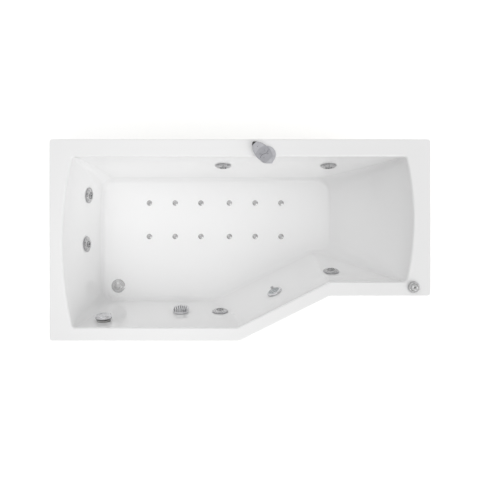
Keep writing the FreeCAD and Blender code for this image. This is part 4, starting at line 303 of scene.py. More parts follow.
def polished(name, dark, light, rough, grain=40.0):
    surface = Surface(name, metallic=1.0)
    surface.color(surface.noise(grain), dark, light)
    surface.roughness(surface.noise(grain * 2), *rough)
    surface.bump(surface.noise(900.0, 2.0, (1, 1, 8)), 0.01, 0.0002)
    return surface.material


def galvanised():
    surface = Surface("galvanised_steel", metallic=1.0)
    flakes = surface.cells(120.0)
    surface.color(flakes, (0.46, 0.47, 0.48), (0.66, 0.67, 0.68), 0.2, 0.8)
    surface.roughness(surface.noise(60.0), 0.32, 0.5)
    surface.bump(surface.cells(120.0, "Distance"), 0.08, 0.0005)
    return surface.material


def threaded():
    """Plated stud with a thread of 1.75 mm pitch up its length."""
    surface = Surface("threaded_steel", metallic=1.0)
    thread = surface.bands(1.75 * MM, "Z", "Object")
    surface.color(thread, grey(0.30), grey(0.68), 0.2, 0.8)
    surface.roughness(surface.noise(80.0), 0.22, 0.38)
    surface.bump(thread, 0.9, 0.001)
    return surface.material


def chipboard():
    surface = Surface("chipboard")
    chips = surface.cells(240.0, "Color", (1, 2.2, 1))
    surface.color(chips, (0.42, 0.28, 0.15), (0.72, 0.56, 0.36), 0.15, 0.85)
    surface.roughness(surface.noise(50.0), 0.6, 0.85)
    surface.bump(surface.cells(240.0, "Distance", (1, 2.2, 1)), 0.25, 0.001)
    return surface.material


def hose(name, dark, light, rough, bump):
    """Hose wall whose tone and height follow its ribs, counted along V. On the ribbed hoses the bands of
    tone are painted shade and highlight; on the water hose they are its white spiral.
    """
    surface = Surface(name, coat=0.2)
    ribs = surface.bands(1.0)
    surface.color(ribs, dark, light, 0.15, 0.7)
    surface.roughness(surface.noise(40.0), *rough)
    surface.bump(ribs, bump)
    return surface.material


ACRYLIC = acrylic()
GLASS_FIBRE = glass_fibre()
CHROME = polished("chrome", grey(0.66, 0.02), grey(0.80, 0.01), (0.06, 0.14))
JET_CHROME = polished("jet_satin_chrome", grey(0.47, 0.01), grey(0.55, 0.01), (0.22, 0.34))
JET_LIGHT = polished("jet_light_chrome", grey(0.58), grey(0.66), (0.20, 0.32))
DIAL_CHROME = polished("dial_satin_chrome", grey(0.53), grey(0.61), (0.16, 0.28))
DIAL_LIGHT = polished("dial_light_chrome", grey(0.56), grey(0.64), (0.12, 0.24))
# Paler copy of the chrome: painted highlight on the overflow knob's face.
PAINTED_HIGHLIGHT_CHROME = polished("pale_chrome_painted_highlight", grey(0.84), grey(0.93), (0.10, 0.20))
# Dark chrome for the air dial's centre, and painted shade in the jets' mouths.
DARK_CHROME_AND_PAINTED_SHADE = polished("dark_chrome_and_painted_shade", grey(0.10), grey(0.17), (0.18, 0.30))
ZINC = polished("zinc_plate", (0.55, 0.56, 0.55), (0.74, 0.74, 0.71), (0.22, 0.38))
GALVANISED = galvanised()
THREADED = threaded()
CHIPBOARD = chipboard()
RUBBER = moulded("black_rubber", grey(0.02), grey(0.045), (0.6, 0.85), 30.0, 0.15)
WHITE_PLASTIC = moulded("white_plastic", (0.74, 0.74, 0.72), (0.82, 0.82, 0.80), (0.28, 0.42), 12.0)
GREY_PLASTIC = moulded("grey_plastic", (0.25, 0.26, 0.27), (0.34, 0.35, 0.36), (0.35, 0.5), 14.0)
PALE_PLASTIC = moulded("pale_grey_plastic", (0.50, 0.51, 0.52), (0.60, 0.61, 0.62), (0.32, 0.48), 14.0)
BLACK_PLASTIC = moulded("black_plastic", grey(0.018, 0.002), grey(0.04, 0.003), (0.35, 0.55), 14.0)
HOSE_SPIRAL = hose("water_hose_spiral", (0.60, 0.62, 0.62), (0.80, 0.80, 0.79), (0.22, 0.38), 0.5)
# On the ribbed hoses the bands of tone are painted shade and highlight along the rings.
HOSE_RIBBED_PAINTED_SHADE = hose("ribbed_hose_painted_shade", (0.52, 0.53, 0.53), (0.74, 0.74, 0.73), (0.28, 0.42), 0.2)
HOSE_CLEAR = hose("air_hose_clear", (0.58, 0.66, 0.69), (0.70, 0.76, 0.78), (0.12, 0.25), 0.05)
MOTOR = moulded("motor_casting", (0.30, 0.31, 0.33), (0.44, 0.45, 0.47), (0.35, 0.55), 25.0, 0.2,
                metallic=0.6)
SILVER = moulded("remote_silver", grey(0.50, 0.03), grey(0.57, 0.03), (0.28, 0.38), 60.0, 0.02, coat=0.4)
REMOTE_GREY = moulded("remote_grey", grey(0.40, 0.03), grey(0.45, 0.03), (0.28, 0.4), 60.0, 0.02, coat=0.3)
REMOTE_SEAM = moulded("remote_seam", grey(0.10, 0.02), grey(0.14, 0.02), (0.4, 0.5), 60.0, 0.02)
REMOTE_BLACK = moulded("remote_black", grey(0.005), grey(0.015), (0.05, 0.12), 40.0, 0.0, coat=1.0)
LENS = moulded("lens_clear", (0.62, 0.66, 0.68), (0.78, 0.81, 0.82), (0.05, 0.12), 50.0, 0.02, coat=1.0)
# Dark grey for the lens grooves: painted shade.
LENS_SHADE = moulded("lens_groove_painted_shade", (0.17, 0.18, 0.19), (0.24, 0.25, 0.26), (0.2, 0.3), 50.0, 0.02)

SLOT_MATERIALS = {
    "acrylic": ACRYLIC, "board": CHIPBOARD, "frame_steel": GALVANISED, "fastener_steel": ZINC,
    "rubber": RUBBER, "chrome": CHROME, "fitting_white": WHITE_PLASTIC, "fitting_grey": GREY_PLASTIC,
    "fitting_black": BLACK_PLASTIC, "water_hose": HOSE_SPIRAL, "air_hose": HOSE_CLEAR,
    "suction_hose": HOSE_RIBBED_PAINTED_SHADE, "motor": MOTOR, "lens": LENS, "remote_silver": SILVER,
    "remote_grey": REMOTE_GREY, "remote_black": REMOTE_BLACK,
}
NODE_MATERIALS = {
    "jet_bezels": JET_CHROME, "level_sensor": JET_CHROME, "air_control_knob": DIAL_CHROME,
    "waste_flange": DIAL_LIGHT, "drain_plug": DIAL_LIGHT, "air_jet_caps": DIAL_CHROME,
    "control_box": PALE_PLASTIC, "water_tee": WHITE_PLASTIC,
    **{f"jet_nozzle_{number}": JET_CHROME for number in range(1, 7)},
}


def dress_nodes():
    """Gives each CAD node its own material or the one of its slot."""
    for subpart in frame["record"]["subparts"]:
        node = subpart["node"]
        mesh = NODES[node].data
        mesh.materials.clear()
        mesh.materials.append(NODE_MATERIALS.get(node, SLOT_MATERIALS[subpart["material_slot"]]))


def dress_faces(node, material, chosen):
    """Gives the faces of a node that the test chooses another material."""
    mesh = NODES[node].data
    mesh.materials.append(material)
    for face in mesh.polygons:
        if chosen(face.center, face.normal):
            face.material_index = len(mesh.materials) - 1


def from_outline(place):
    """Distance from the nearest edge of the outline, seen from above."""
    nearest = 1.0
    for start, end in zip(OUTLINE, OUTLINE[1:] + OUTLINE[:1]):
        start, end = Vector(start), Vector(end)
        edge = end - start
        share = min(1.0, max(0.0, (place.xy - start).dot(edge) / edge.length_squared))
        nearest = min(nearest, (place.xy - start - edge * share).length)
    return nearest


def is_shell_back(place, normal):
    """The underside, and every upright face that is not the outside of the lip."""
    if abs(normal.z) > 0.02:
        return normal.z < 0
    return from_outline(place) > LIP_EDGE


def from_axis(place, axis):
    return math.hypot(place.x - axis[0], place.y - axis[1])


def dress_feet():
    """Plastic pad under each plated stud, and the thread on the stud."""
    for number, axis in enumerate(FEET, start=1):
        dress_faces(f"foot_{number}", BLACK_PLASTIC, lambda at, normal: from_axis(at, axis) > 2 * FOOT_STUD)
        dress_faces(f"foot_{number}", THREADED,
                    lambda at, normal: from_axis(at, axis) < 1.1 * FOOT_STUD and abs(normal.z) < 0.3)


# Mesh code


def axes(place, x, z):
    """Frame with its z axis along z and its x axis as near to x as it can be."""
    z = Vector(z).normalized()
    y = z.cross(Vector(x)).normalized()
    x = y.cross(z)
    return Matrix.Translation(Vector(place)) @ Matrix((x, y, z)).transposed().to_4x4()


def inset(wall, depth):
    rim, draft, curve = WALLS[wall]
    return rim + draft * (depth / BASIN_DEPTH) ** curve


def wall_point(wall, along, depth, grow=0.0):
    """Place on a basin wall at a depth below the rim, or on its back with the thickness as grow."""
    front, back = FRONT + inset("front", depth) - grow, BACK - inset("back", depth) + grow
    height = Vector((0, 0, RIM_HEIGHT - depth * (BASIN_DEPTH + grow) / BASIN_DEPTH))
    if wall == "slant":
        return SLANT_START + SLANT_ALONG * along + SLANT_INWARD * (inset(wall, depth) - grow) + height
    if wall == "left":
        bow = LEFT_BOW_RIM + (LEFT_BOW_FLOOR - LEFT_BOW_RIM) * depth / BASIN_DEPTH
        radius = ((back - front) ** 2 / 4 + bow ** 2) / (2 * bow)
        sink = radius - math.sqrt(radius ** 2 - (along - (back + front) / 2) ** 2)
        return Vector((LEFT + inset(wall, depth) - grow - bow + sink, along, 0)) + height
    narrow = NARROW_FRONT + inset("narrow", depth) - grow
    return Vector((along, {"front": front, "back": back, "narrow": narrow}[wall], 0)) + height


class Seat:
    """Frame of a wall fitting, z into the basin and y up the wall, and the wall's thickness there."""

    def __init__(self, wall, along, depth_share):
        depth = depth_share * BASIN_DEPTH
        place = wall_point(wall, along, depth)
        across = wall_point(wall, along + MM, depth) - wall_point(wall, along - MM, depth)
        upward = wall_point(wall, along, depth - MM) - wall_point(wall, along, depth + MM)
        inward = across.cross(upward).normalized()
        if inward.xy.dot(place.xy) > 0:
            inward.negate()
        self.base = axes(place, upward.cross(inward), inward)
        outside_depth = depth * BASIN_DEPTH / (BASIN_DEPTH + SHELL_WALL)
        self.wall = (place - wall_point(wall, along, outside_depth, SHELL_WALL)).dot(inward)

    def behind(self, x, y, depth):
        """Place in the seat's frame, at a depth behind the back of the wall."""
        return self.base @ Vector((x, y, -self.wall - depth))


JETS = [Seat(*place) for place in JET_PLACES]
SUCTION = Seat(*SUCTION_PLACE)
OVERFLOW = Seat(*OVERFLOW_PLACE)
LIGHT = Seat(*LIGHT_PLACE)


def turns(count, first=0.0):
    """Angles at even steps round a circle, the first one given in steps."""
    return [2 * math.pi * (k + first) / count for k in range(count)]


def around(radius, turn, height=0.0):
    return Vector((radius * math.cos(turn), radius * math.sin(turn), height))


def level_axes(place, turn=0.0):
    return Matrix.Translation(Vector(place)) @ Matrix.Rotation(math.radians(turn), 4, "Z")


def moved(base, x=0.0, y=0.0, z=0.0, turn=0.0):
    return base @ level_axes((x, y, z), turn)


def rounded_rectangle(width, depth, radius, steps=4):
    points = []
    for quarter, (side_x, side_y) in enumerate(((1, 1), (-1, 1), (-1, -1), (1, -1))):
        middle = Vector((side_x * (width / 2 - radius), side_y * (depth / 2 - radius)))
        for step in range(steps + 1):
            turn = math.pi / 2 * (quarter + step / steps)
            points.append(middle + around(radius, turn).xy)
    return points


def even_steps(line, step):
    """Points at even steps along a line of close points, with their distance from its start."""
    lengths = [0.0]
    for before, after in zip(line, line[1:]):
        lengths.append(lengths[-1] + (after - before).length)
    count = max(2, round(lengths[-1] / step))
    points, index = [], 0
    for number in range(count + 1):
        distance = lengths[-1] * number / count
        while index < len(line) - 2 and lengths[index + 1] < distance:
            index += 1
        share = (distance - lengths[index]) / (lengths[index + 1] - lengths[index])
        points.append((line[index].lerp(line[index + 1], share), distance))
    return points


def spline_points(route, step):
    """Points along the smooth NURBS line that the route's points control."""
    curve = bpy.data.curves.new("route", "CURVE")
    curve.dimensions = "3D"
    curve.resolution_u = 40
    spline = curve.splines.new("NURBS")
    spline.points.add(len(route) - 1)
    for point, place in zip(spline.points, route):
        point.co = (*place, 1.0)
    spline.order_u = 3
    spline.use_endpoint_u = True
    holder = bpy.data.objects.new("route", curve)
    mesh = bpy.data.meshes.new_from_object(holder)
    line = [vertex.co.copy() for vertex in mesh.vertices]
    bpy.data.objects.remove(holder)
    bpy.data.curves.remove(curve)
    bpy.data.meshes.remove(mesh)
    return even_steps(line, step)


def ring_frames(points):
    """Frames along a line whose x axis turns as little as possible from one to the next."""
    frames = []
    side = None
    for index, point in enumerate(points):
        along = points[min(index + 1, len(points) - 1)] - points[max(index - 1, 0)]
        if side is None:
            side = along.orthogonal()
        frames.append(axes(point, side, along))
        side = frames[-1].col[0].xyz
    return frames


def profile(*pairs):
    """Pairs of radius and height, given in millimetres."""
    return [(radius * MM, height * MM) for radius, height in pairs]


def linked(name, data):
    made = bpy.data.objects.new(name, data)
    bpy.context.scene.collection.objects.link(made)
    return made


class Shape:
    """Points and faces of one piece in the part's frame, gathered before its mesh is made."""

    def __init__(self):
        self.points, self.faces, self.uvs = [], [], []

    def skin(self, rings, wrap=True, loop=False, caps=False, heights=None, helix=0.0):
        """Quads between rings of equal count. Heights are the rings' V values."""
        first, count = len(self.points), len(rings[0])
        heights = heights or [0.0] * len(rings)
        for ring in rings:
            self.points += ring
        for i in range(len(rings) if loop else len(rings) - 1):
            for j in range(count if wrap else count - 1):
                corners = ((i, j), (i, j + 1), (i + 1, j + 1), (i + 1, j))
                self.faces.append([first + a % len(rings) * count + b % count for a, b in corners])
                self.uvs.append([(b / count, heights[a % len(rings)] + helix * b / count)
                                 for a, b in corners])
        if caps:
            last = first + (len(rings) - 1) * count
            self.faces.append([first + k for k in reversed(range(count))])
            self.faces.append([last + k for k in range(count)])
            self.uvs += [[(0, 0)] * count] * 2

    def lathe(self, pairs, base, count=32, loop=False):
        """Turned piece: (radius, height) pairs go up the outside, and down the inside of a ring."""
        rings = [[base @ around(radius, turn, height) for turn in turns(count)] for radius, height in pairs]
        self.skin(rings, loop=loop, caps=not loop)

    def wire_ring(self, radius, thickness, height, base, count=40):
        """Ring of round section."""
        self.lathe([(radius + thickness * math.cos(turn), height + thickness * math.sin(turn))
                    for turn in turns(10)], base, count, loop=True)

    def slab(self, width, depth, low, high, base, radius, bevel):
        """Plate with rounded corners and bevelled edges."""
        rings = []
        for shrink, height in ((bevel, low), (0, low + bevel), (0, high - bevel), (bevel, high)):
            corner = max(radius - shrink, bevel / 2)
            outline = rounded_rectangle(width - 2 * shrink, depth - 2 * shrink, corner)
            rings.append([base @ Vector((point.x, point.y, height)) for point in outline])
        self.skin(rings, caps=True)

    def rod(self, points, radii, count=10):
        """Round bar along a line of points, with a radius at each."""
        rings = [[base @ around(radius, turn) for turn in turns(count)]
                 for base, radius in zip(ring_frames(points), radii)]
        self.skin(rings, caps=True)

    def tube(self, route, radius_at, bore, step, pitch, count, helix=0.0):
        """Hose along a route, open at both ends, with V counting its ribs."""
        places = spline_points(route, step)
        frames = ring_frames([point for point, distance in places])
        length = places[-1][1]
        mouth = max(2, round(HOSE_MOUTH / step))
        shifts = [helix * pitch * k / count for k in range(count)]
        sections = [(frames[mouth], [bore] * count, 0.0), (frames[0], [bore] * count, 0.0)]
        sections += [(base, [radius_at(distance + shift, length) for shift in shifts], distance / pitch)
                     for base, (point, distance) in zip(frames, places)]
        sections += [(frames[-1], [bore] * count, 0.0), (frames[-1 - mouth], [bore] * count, 0.0)]
        rings = [[base @ around(radius, turn) for radius, turn in zip(radii, turns(count))]
                 for base, radii, height in sections]
        self.skin(rings, heights=[height for base, radii, height in sections], helix=helix)

    def patch(self, tree, base, grid):
        """Raised patch on a node: a grid of (x, y, lift) laid on its surface along the base's z axis."""
        axis = base.col[2].xyz
        rings = []
        for row in grid:
            rings.append([tree.ray_cast(base @ Vector((x, y, RAY_START)), -axis)[0] + axis * lift
                          for x, y, lift in row])
        self.skin(rings, wrap=False)

    def piece(self, name, slot, material=None, body="bath", smooth=35.0):
        mesh = bpy.data.meshes.new(name)
        mesh.from_pydata(self.points, [], self.faces)
        layer = mesh.uv_layers.new(name="rows")
        for loop, uv in zip(layer.data, (uv for face in self.uvs for uv in face)):
            loop.uv = uv
        mesh.materials.append(material or SLOT_MATERIALS[slot])
        mesh.shade_smooth()
        mesh.set_sharp_from_angle(angle=math.radians(smooth))
        made = linked(name, mesh)
        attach(made, body)
        return made


def node_tree(node):
    mesh = NODES[node].data
    return BVHTree.FromPolygons([vertex.co for vertex in mesh.vertices],
                                [face.vertices[:] for face in mesh.polygons])


def petal(start, end, half_turn, middle_turn, height, steps=6):
    """Grid of a raised petal between two radii, sunk a little at its edges."""
    grid = []
    for i in range(steps + 1):
        radius = start + (end - start) * i / steps
        row = []
        for j in range(steps + 1):
            turn = middle_turn + half_turn * (2 * j / steps - 1)
            rise = math.sin(math.pi * i / steps) * math.sin(math.pi * j / steps)
            row.append(around(radius, turn, height * min(1.0, 2 * rise) - PETAL_SINK))
        grid.append(row)
    return grid


def screw_head(shape, base, radius, height):
    """Pan head with a rounded edge and a socket."""
    socket = radius * 0.45
    shape.lathe([(radius, 0), (radius, height * 0.55), (radius * 0.88, height * 0.9),
                 (radius * 0.7, height), (socket, height), (socket * 0.9, height * 0.4)], base, 16)


def hex_bolt(shape, base, radius, height):
    shape.lathe([(radius * 1.35, 0), (radius * 1.35, height * 0.2), (radius * 1.3, height * 0.25),
                 (radius, height * 0.25)], base, 20)
    shape.lathe([(radius, height * 0.25), (radius, height * 0.9), (radius * 0.85, height)], base, 6)


# Fittings in the basin


def add_jet_details():
    petals, rings, bands = Shape(), Shape(), Shape()
    tree = node_tree("jet_bezels")
    for seat in JETS:
        for turn in turns(JET_PETALS, 0.5):
            petals.patch(tree, seat.base, petal(18 * MM, 34 * MM, 0.30, turn, 1.6 * MM))
        # Dark ring round the bezel's mouth: painted shade in the bore around the nozzle.
        rings.wire_ring(15.2 * MM, 1.3 * MM, 10.9 * MM, seat.base)
        bands.wire_ring(37.6 * MM, 0.9 * MM, 3.6 * MM, seat.base, 48)
    petals.piece("jet_bezel_petals", "chrome", JET_LIGHT)
    rings.piece("jet_mouth_painted_shade_rings", "chrome", DARK_CHROME_AND_PAINTED_SHADE)
    bands.piece("jet_edge_bands", "chrome", JET_CHROME)


def add_nozzle_details():
    for number, seat in enumerate(JETS, start=1):
        collar = Shape()
        collar.wire_ring(7.9 * MM, 0.8 * MM, 13.0 * MM, seat.base, 28)
        collar.piece(f"nozzle_collar_{number}", "chrome", JET_LIGHT, f"nozzle_{number}")


def add_suction_strainer():
    strainer, screws = Shape(), Shape()
    base = SUCTION.base
    strainer.lathe(profile((31, 5.6), (31, 15), (28, 20), (19, 24), (6, 25.5)), base, 40)
    strainer.piece("suction_strainer", "fitting_grey")
    screw_head(screws, moved(base, z=33.0 * MM), 3.6 * MM, 2.0 * MM)
    screws.piece("suction_cover_screw", "fastener_steel")


def add_overflow_details():
    ribs, face, shade = Shape(), Shape(), Shape()
    base = OVERFLOW.base
    radius, low, high = 37 * MM, 14 * MM, 22 * MM
    for turn in turns(OVERFLOW_RIBS):
        points = [base @ around(radius, turn, low + (high - low) * share) for share in (0, 0.1, 0.9, 1)]
        ribs.rod(points, [0.3 * MM, 1.1 * MM, 1.1 * MM, 0.3 * MM], 8)
    # Face ring and index dot in paler chrome: a painted highlight on the knob.
    face.wire_ring(26 * MM, 0.8 * MM, 29.3 * MM, base)
    face.lathe(profile((2.2, 29.2), (2.2, 29.8), (1.6, 30.2)), moved(base, y=20 * MM), 16)
    # Black ring at the knob's foot: painted shade in the gap between the knob and the wall.
    shade.wire_ring(35.8 * MM, 1.9 * MM, 13.0 * MM, base, 56)
    ribs.piece("overflow_knob_ribs", "chrome", body="overflow_dial")
    face.piece("overflow_knob_face", "chrome", PAINTED_HIGHLIGHT_CHROME, "overflow_dial")
    shade.piece("overflow_knob_edge_painted_shade", "fitting_black", body="overflow_dial")


def add_drain_details():
    base = level_axes(DRAIN)
    rings, plug = Shape(), Shape()
    rings.wire_ring(29.5 * MM, 0.7 * MM, 3.9 * MM, base, 56)
    rings.wire_ring(22.6 * MM, 0.8 * MM, 4.0 * MM, base, 48)
    plug.wire_ring(14.5 * MM, 0.6 * MM, 6.45 * MM, base)
    rings.piece("drain_flange_rings", "chrome", JET_CHROME)
    plug.piece("drain_plug_ring", "chrome", JET_CHROME, "plug")


def add_air_jet_details():
    rings, edges = Shape(), Shape()
    for x in AIR_JET_XS:
        for y in AIR_JET_YS:
            base = level_axes((x, y, FLOOR_HEIGHT))
            rings.lathe(profile((9.2, 2.6), (8.8, 4.2), (7.6, 4.6), (5.0, 4.75), (4.4, 4.2)),
                        base, 28, loop=True)
            edges.wire_ring(13.3 * MM, 0.7 * MM, 1.7 * MM, base, 32)
    rings.piece("air_jet_rings", "chrome", DIAL_LIGHT)
    edges.piece("air_jet_edges", "chrome", DIAL_CHROME)


def shade_light_lens():
    """Painted shade: the lens faces down in the grooves between its fins get a dark colour."""
    along, inward = LIGHT.base.col[1].xyz, LIGHT.base.col[2].xyz

    def is_groove(at, normal):
        height = (at - LIGHT.base.translation).dot(inward)
        floor = abs(height - 11.3 * MM) < 0.6 * MM and normal.dot(inward) > 0.9
        return floor or (height > 11 * MM and abs(normal.dot(along)) > 0.9)

    dress_faces("light_lens", LENS_SHADE, is_groove)


# Air dial and hand control on the rim


def add_air_dial_details():
    base = level_axes(AIR_DIAL, AIR_DIAL_TURN)
    tree = node_tree("air_control_knob")
    lobes, ribs, centre = Shape(), Shape(), Shape()
    for turn in turns(3):
        lobes.patch(tree, base, petal(4.6 * MM, 14.2 * MM, 0.72, turn, 1.4 * MM))
    for turn in turns(9, 0.5):
        lobes.patch(tree, base, petal(17.6 * MM, 22.6 * MM, 0.22, turn, 1.1 * MM))
    side = profile((25.3, 5), (25.0, 6), (23.4, 12.5), (23.1, 13.6))
    for turn in turns(AIR_DIAL_RIBS):
        ribs.rod([base @ around(radius, turn, height) for radius, height in side],
                 [0.3 * MM, 0.8 * MM, 0.8 * MM, 0.3 * MM], 8)
    centre.lathe(profile((3.8, 18.8), (3.8, 19.6), (3.0, 20.3), (1.2, 20.5)), base, 24)
    centre.wire_ring(16.2 * MM, 0.7 * MM, 14.3 * MM, base)
    lobes.piece("air_dial_lobes", "chrome", DIAL_LIGHT, "air_dial")
    ribs.piece("air_dial_ribs", "chrome", DIAL_CHROME, "air_dial")
    centre.piece("air_dial_centre", "chrome", DARK_CHROME_AND_PAINTED_SHADE, "air_dial")


def add_remote_details():
    base = level_axes(REMOTE, REMOTE_TURN)
    top = REMOTE_TOP + 0.05 * MM
    seam, light = Shape(), Shape()
    curve = []
    for step in range(33):
        across = 26 * MM * (step / 16 - 1)
        along = KEYS_CENTRE + 3.6 * MM * math.sin(2 * math.pi * across / (46 * MM))
        curve.append(base @ Vector((along, across, top)))
    seam.rod(curve, [0.9 * MM] * len(curve), 8)
    light.lathe(profile((1.4, -0.3), (1.4, 0.2), (1.0, 0.6)), moved(base, x=34 * MM, z=top), 16)
    seam.piece("remote_seam", "remote_grey", REMOTE_SEAM, "hand_control")
    light.piece("remote_led", "remote_black", body="hand_control")


def add_key_marks():
    """A ring, a bar, a cross and a drop, one raised on each key."""
    number = 0
    for along in (1, -1):
        for across in (1, -1):
            number += 1
            base = moved(level_axes(REMOTE, REMOTE_TURN), KEYS_CENTRE + along * KEY_STEP_ALONG / 2,
                         across * KEY_STEP_ACROSS / 2, REMOTE_TOP + KEY_PROUD)
            mark = Shape()
            if number == 1:
                mark.wire_ring(2.6 * MM, 0.4 * MM, 0.1 * MM, base, 24)
            if number in (2, 3):
                mark.slab(5.4 * MM, 0.9 * MM, -0.2 * MM, 0.45 * MM, base, 0.4 * MM, 0.15 * MM)
            if number == 3:
                mark.slab(0.9 * MM, 5.4 * MM, -0.2 * MM, 0.45 * MM, base, 0.4 * MM, 0.15 * MM)
            if number == 4:
                mark.lathe(profile((2.2, -0.2), (2.0, 0.3), (0.8, 0.6)), base, 20)
            mark.piece(f"key_mark_{number}", "remote_grey", REMOTE_SEAM, f"key_{number}")


# Hoses


def toward(start, end, distance):
    """Place on the straight run from start to end."""
    return start + (end - start).normalized() * distance


def slant_lane(places):
    return [Seat("slant", along * SLANT_LENGTH, down).base @ Vector((0, 0, -distance))
            for along, down, distance in places]


def jet_port(height):
    """Function that gives a place beside a jet's body, on the axis of its ports at that height."""
    return lambda seat, side, lead: seat.behind(side * lead, height, JET_PORT_DEPTH)


def end_lane(source, rise, lead, end):
    """Way from a lead along the right end and round the back corner to the first back jet."""
    start = Vector((END_LANE_X, source.y + 2 * LONG_LEAD, source.z + rise))
    corner = Vector((END_LANE_X, end.y, end.z))
    straight = toward(start, corner, (start - lead).length)
    return [start, straight, corner, Vector((BACK_LANE_X, end.y, end.z)), end]


def routes_between_jets(port, root, lane, sag):
    """Routes from jet to jet. Points beside the bends keep the long runs straight."""
    back_right, back_left, left_back, left_front, narrow, front = JETS
    narrow_lead, front_lead = port(narrow, 1, SHORT_LEAD), port(front, -1, SHORT_LEAD)
    back_start, back_end = port(back_right, -1, root), port(back_left, 1, root)
    corner_lead, left_lead = port(back_left, -1, LONG_LEAD), port(left_back, 1, LONG_LEAD)
    corner = Vector((left_lead.x, corner_lead.y, (corner_lead.z + left_lead.z) / 2))
    return [
        [port(narrow, 1, root), narrow_lead, toward(narrow_lead, lane[0], SHORT_LEAD - root), *lane,
         toward(front_lead, lane[-1], SHORT_LEAD - root), front_lead, port(front, -1, root)],
        [back_start, (back_start + back_end) / 2 - Vector((0, 0, sag)), back_end],
        [port(back_left, -1, root), corner_lead, toward(corner_lead, corner, LONG_LEAD - root),
         toward(corner, corner_lead, (corner - left_lead).length), corner, left_lead,
         port(left_back, 1, root)],
        [port(left_back, -1, root), port(left_back, -1, LONG_LEAD), port(left_front, 1, LONG_LEAD),
         port(left_front, 1, root)],
    ]


def water_routes():
    """From the tee on the pump to the front and the back jets, and on from jet to jet."""
    port = jet_port(0.0)
    back_right, narrow = JETS[0], JETS[4]
    lead = port(narrow, -1, LONG_LEAD)
    bend = Vector((TEE.x, lead.y, TEE.z))
    back_lead = TEE + Vector((0, LONG_LEAD, 0))
    return [
        [TEE - Vector((0, TEE_ROOT, 0)), bend, toward(lead, bend, LONG_LEAD - WATER_ROOT), lead,
         port(narrow, -1, WATER_ROOT)],
        [TEE + Vector((0, TEE_ROOT, 0)), back_lead,
         *end_lane(TEE, END_LANE_RISE, back_lead, port(back_right, 1, WATER_ROOT))],
        *routes_between_jets(port, WATER_ROOT, slant_lane(SLANT_WATER_LANE), WATER_SAG),
    ]


def air_routes():
    """From the air dial's body to the front and the back jets, and on from jet to jet."""
    port = jet_port(AIR_PORT_HEIGHT)
    back_right, narrow = JETS[0], JETS[4]
    lead = port(narrow, -1, LONG_LEAD)
    front_lead, back_lead = DIAL_PORT - Vector((SHORT_LEAD, 0, 0)), DIAL_PORT + Vector((0, SHORT_LEAD, 0))
    lane = end_lane(DIAL_PORT, -END_LANE_RISE, back_lead, port(back_right, 1, AIR_ROOT))
    return [
        [DIAL_PORT - Vector((DIAL_ROOT, 0, 0)), front_lead, toward(front_lead, lead, SHORT_LEAD - DIAL_ROOT),
         toward(lead, front_lead, LONG_LEAD - AIR_ROOT), lead, port(narrow, -1, AIR_ROOT)],
        [DIAL_PORT + Vector((0, DIAL_ROOT, 0)), back_lead,
         toward(back_lead, lane[0], SHORT_LEAD - DIAL_ROOT), *lane],
        *routes_between_jets(port, AIR_ROOT, slant_lane(SLANT_AIR_LANE), AIR_SAG),
    ]


def suction_route():
    """From the suction fitting down behind the front and slanted walls to the pump."""
    start = Seat("front", SUCTION_START, SUCTION_DOWN).base @ Vector((0, 0, -SUCTION_BEHIND))
    first, last = slant_lane([(share, SUCTION_DOWN, SUCTION_BEHIND) for share in SUCTION_SLANT])
    bend = PUMP + SUCTION_FRONT_OF_PUMP
    before = bend + SUCTION_BEFORE_PUMP
    return [SUCTION.behind(0, -SUCTION_ROOT, SUCTION_PORT_DEPTH),
            SUCTION.behind(0, -SUCTION_LEAD, SUCTION_PORT_DEPTH), start, first,
            toward(first, last, (first - start).length), last, toward(before, last, (bend - before).length),
            before, bend, PUMP + SUCTION_INLET]


def waste_route(beside, root, inlet):
    """From a port under the overflow straight down and across to the waste body."""
    start = OVERFLOW.behind(-beside, -root, OVERFLOW_PORT_DEPTH)
    below = OVERFLOW.behind(-beside, -root - LONG_LEAD, OVERFLOW_PORT_DEPTH)
    end = Vector((start.x, DRAIN.y - inlet, DRAIN.z - WASTE_INLET_DEPTH))
    return [start, below, below - Vector((0, 0, LONG_LEAD)), Vector((start.x, below.y, end.z)), end]


def smooth_wall(radius):
    return lambda distance, length: radius


def corrugated(radius, depth, pitch, cuff):
    """Wall of a hose with rings between smooth cuffs."""
    def radius_at(distance, length):
        if distance < cuff or distance > length - cuff:
            return radius
        return radius - depth / 2 * (1 - math.cos(2 * math.pi * (distance - cuff) / pitch))
    return radius_at


def end_axes(route, distance, x=None):
    """Frame on a route at a distance from its first point, z along the route."""
    start, after = Vector(route[0]), Vector(route[1])
    along = (after - start).normalized()
    return axes(start + along * distance, x or along.orthogonal(), along)


def add_clamps(bands, route, distance, radius):
    """Worm-drive clamp round both ends of a hose: band, housing and screw."""
    for ends in (route, route[::-1]):
        place = end_axes(ends, distance).translation
        base = end_axes(ends, distance, Vector((place.x + 0.1, place.y, 0.0)))
        section = profile((-0.2, -4.5), (0.8, -4.5), (1.2, -3.6), (1.2, 3.6), (0.8, 4.5), (-0.2, 4.5))
        bands.lathe([(radius + out, height) for out, height in section], base, 36, loop=True)
        housing = base @ axes((radius + 1.0 * MM, 0, 0), (0, 1, 0), (1, 0, 0))
        bands.slab(13 * MM, 11 * MM, 0, 6 * MM, housing, 2 * MM, 1 * MM)
        screw = base @ axes((radius + 4.0 * MM, 6 * MM, 0), (1, 0, 0), (0, 1, 0))
        bands.lathe(profile((2.6, 0), (2.6, 1.5), (3.6, 1.5), (3.6, 5), (3.0, 5.6)), screw, 6)


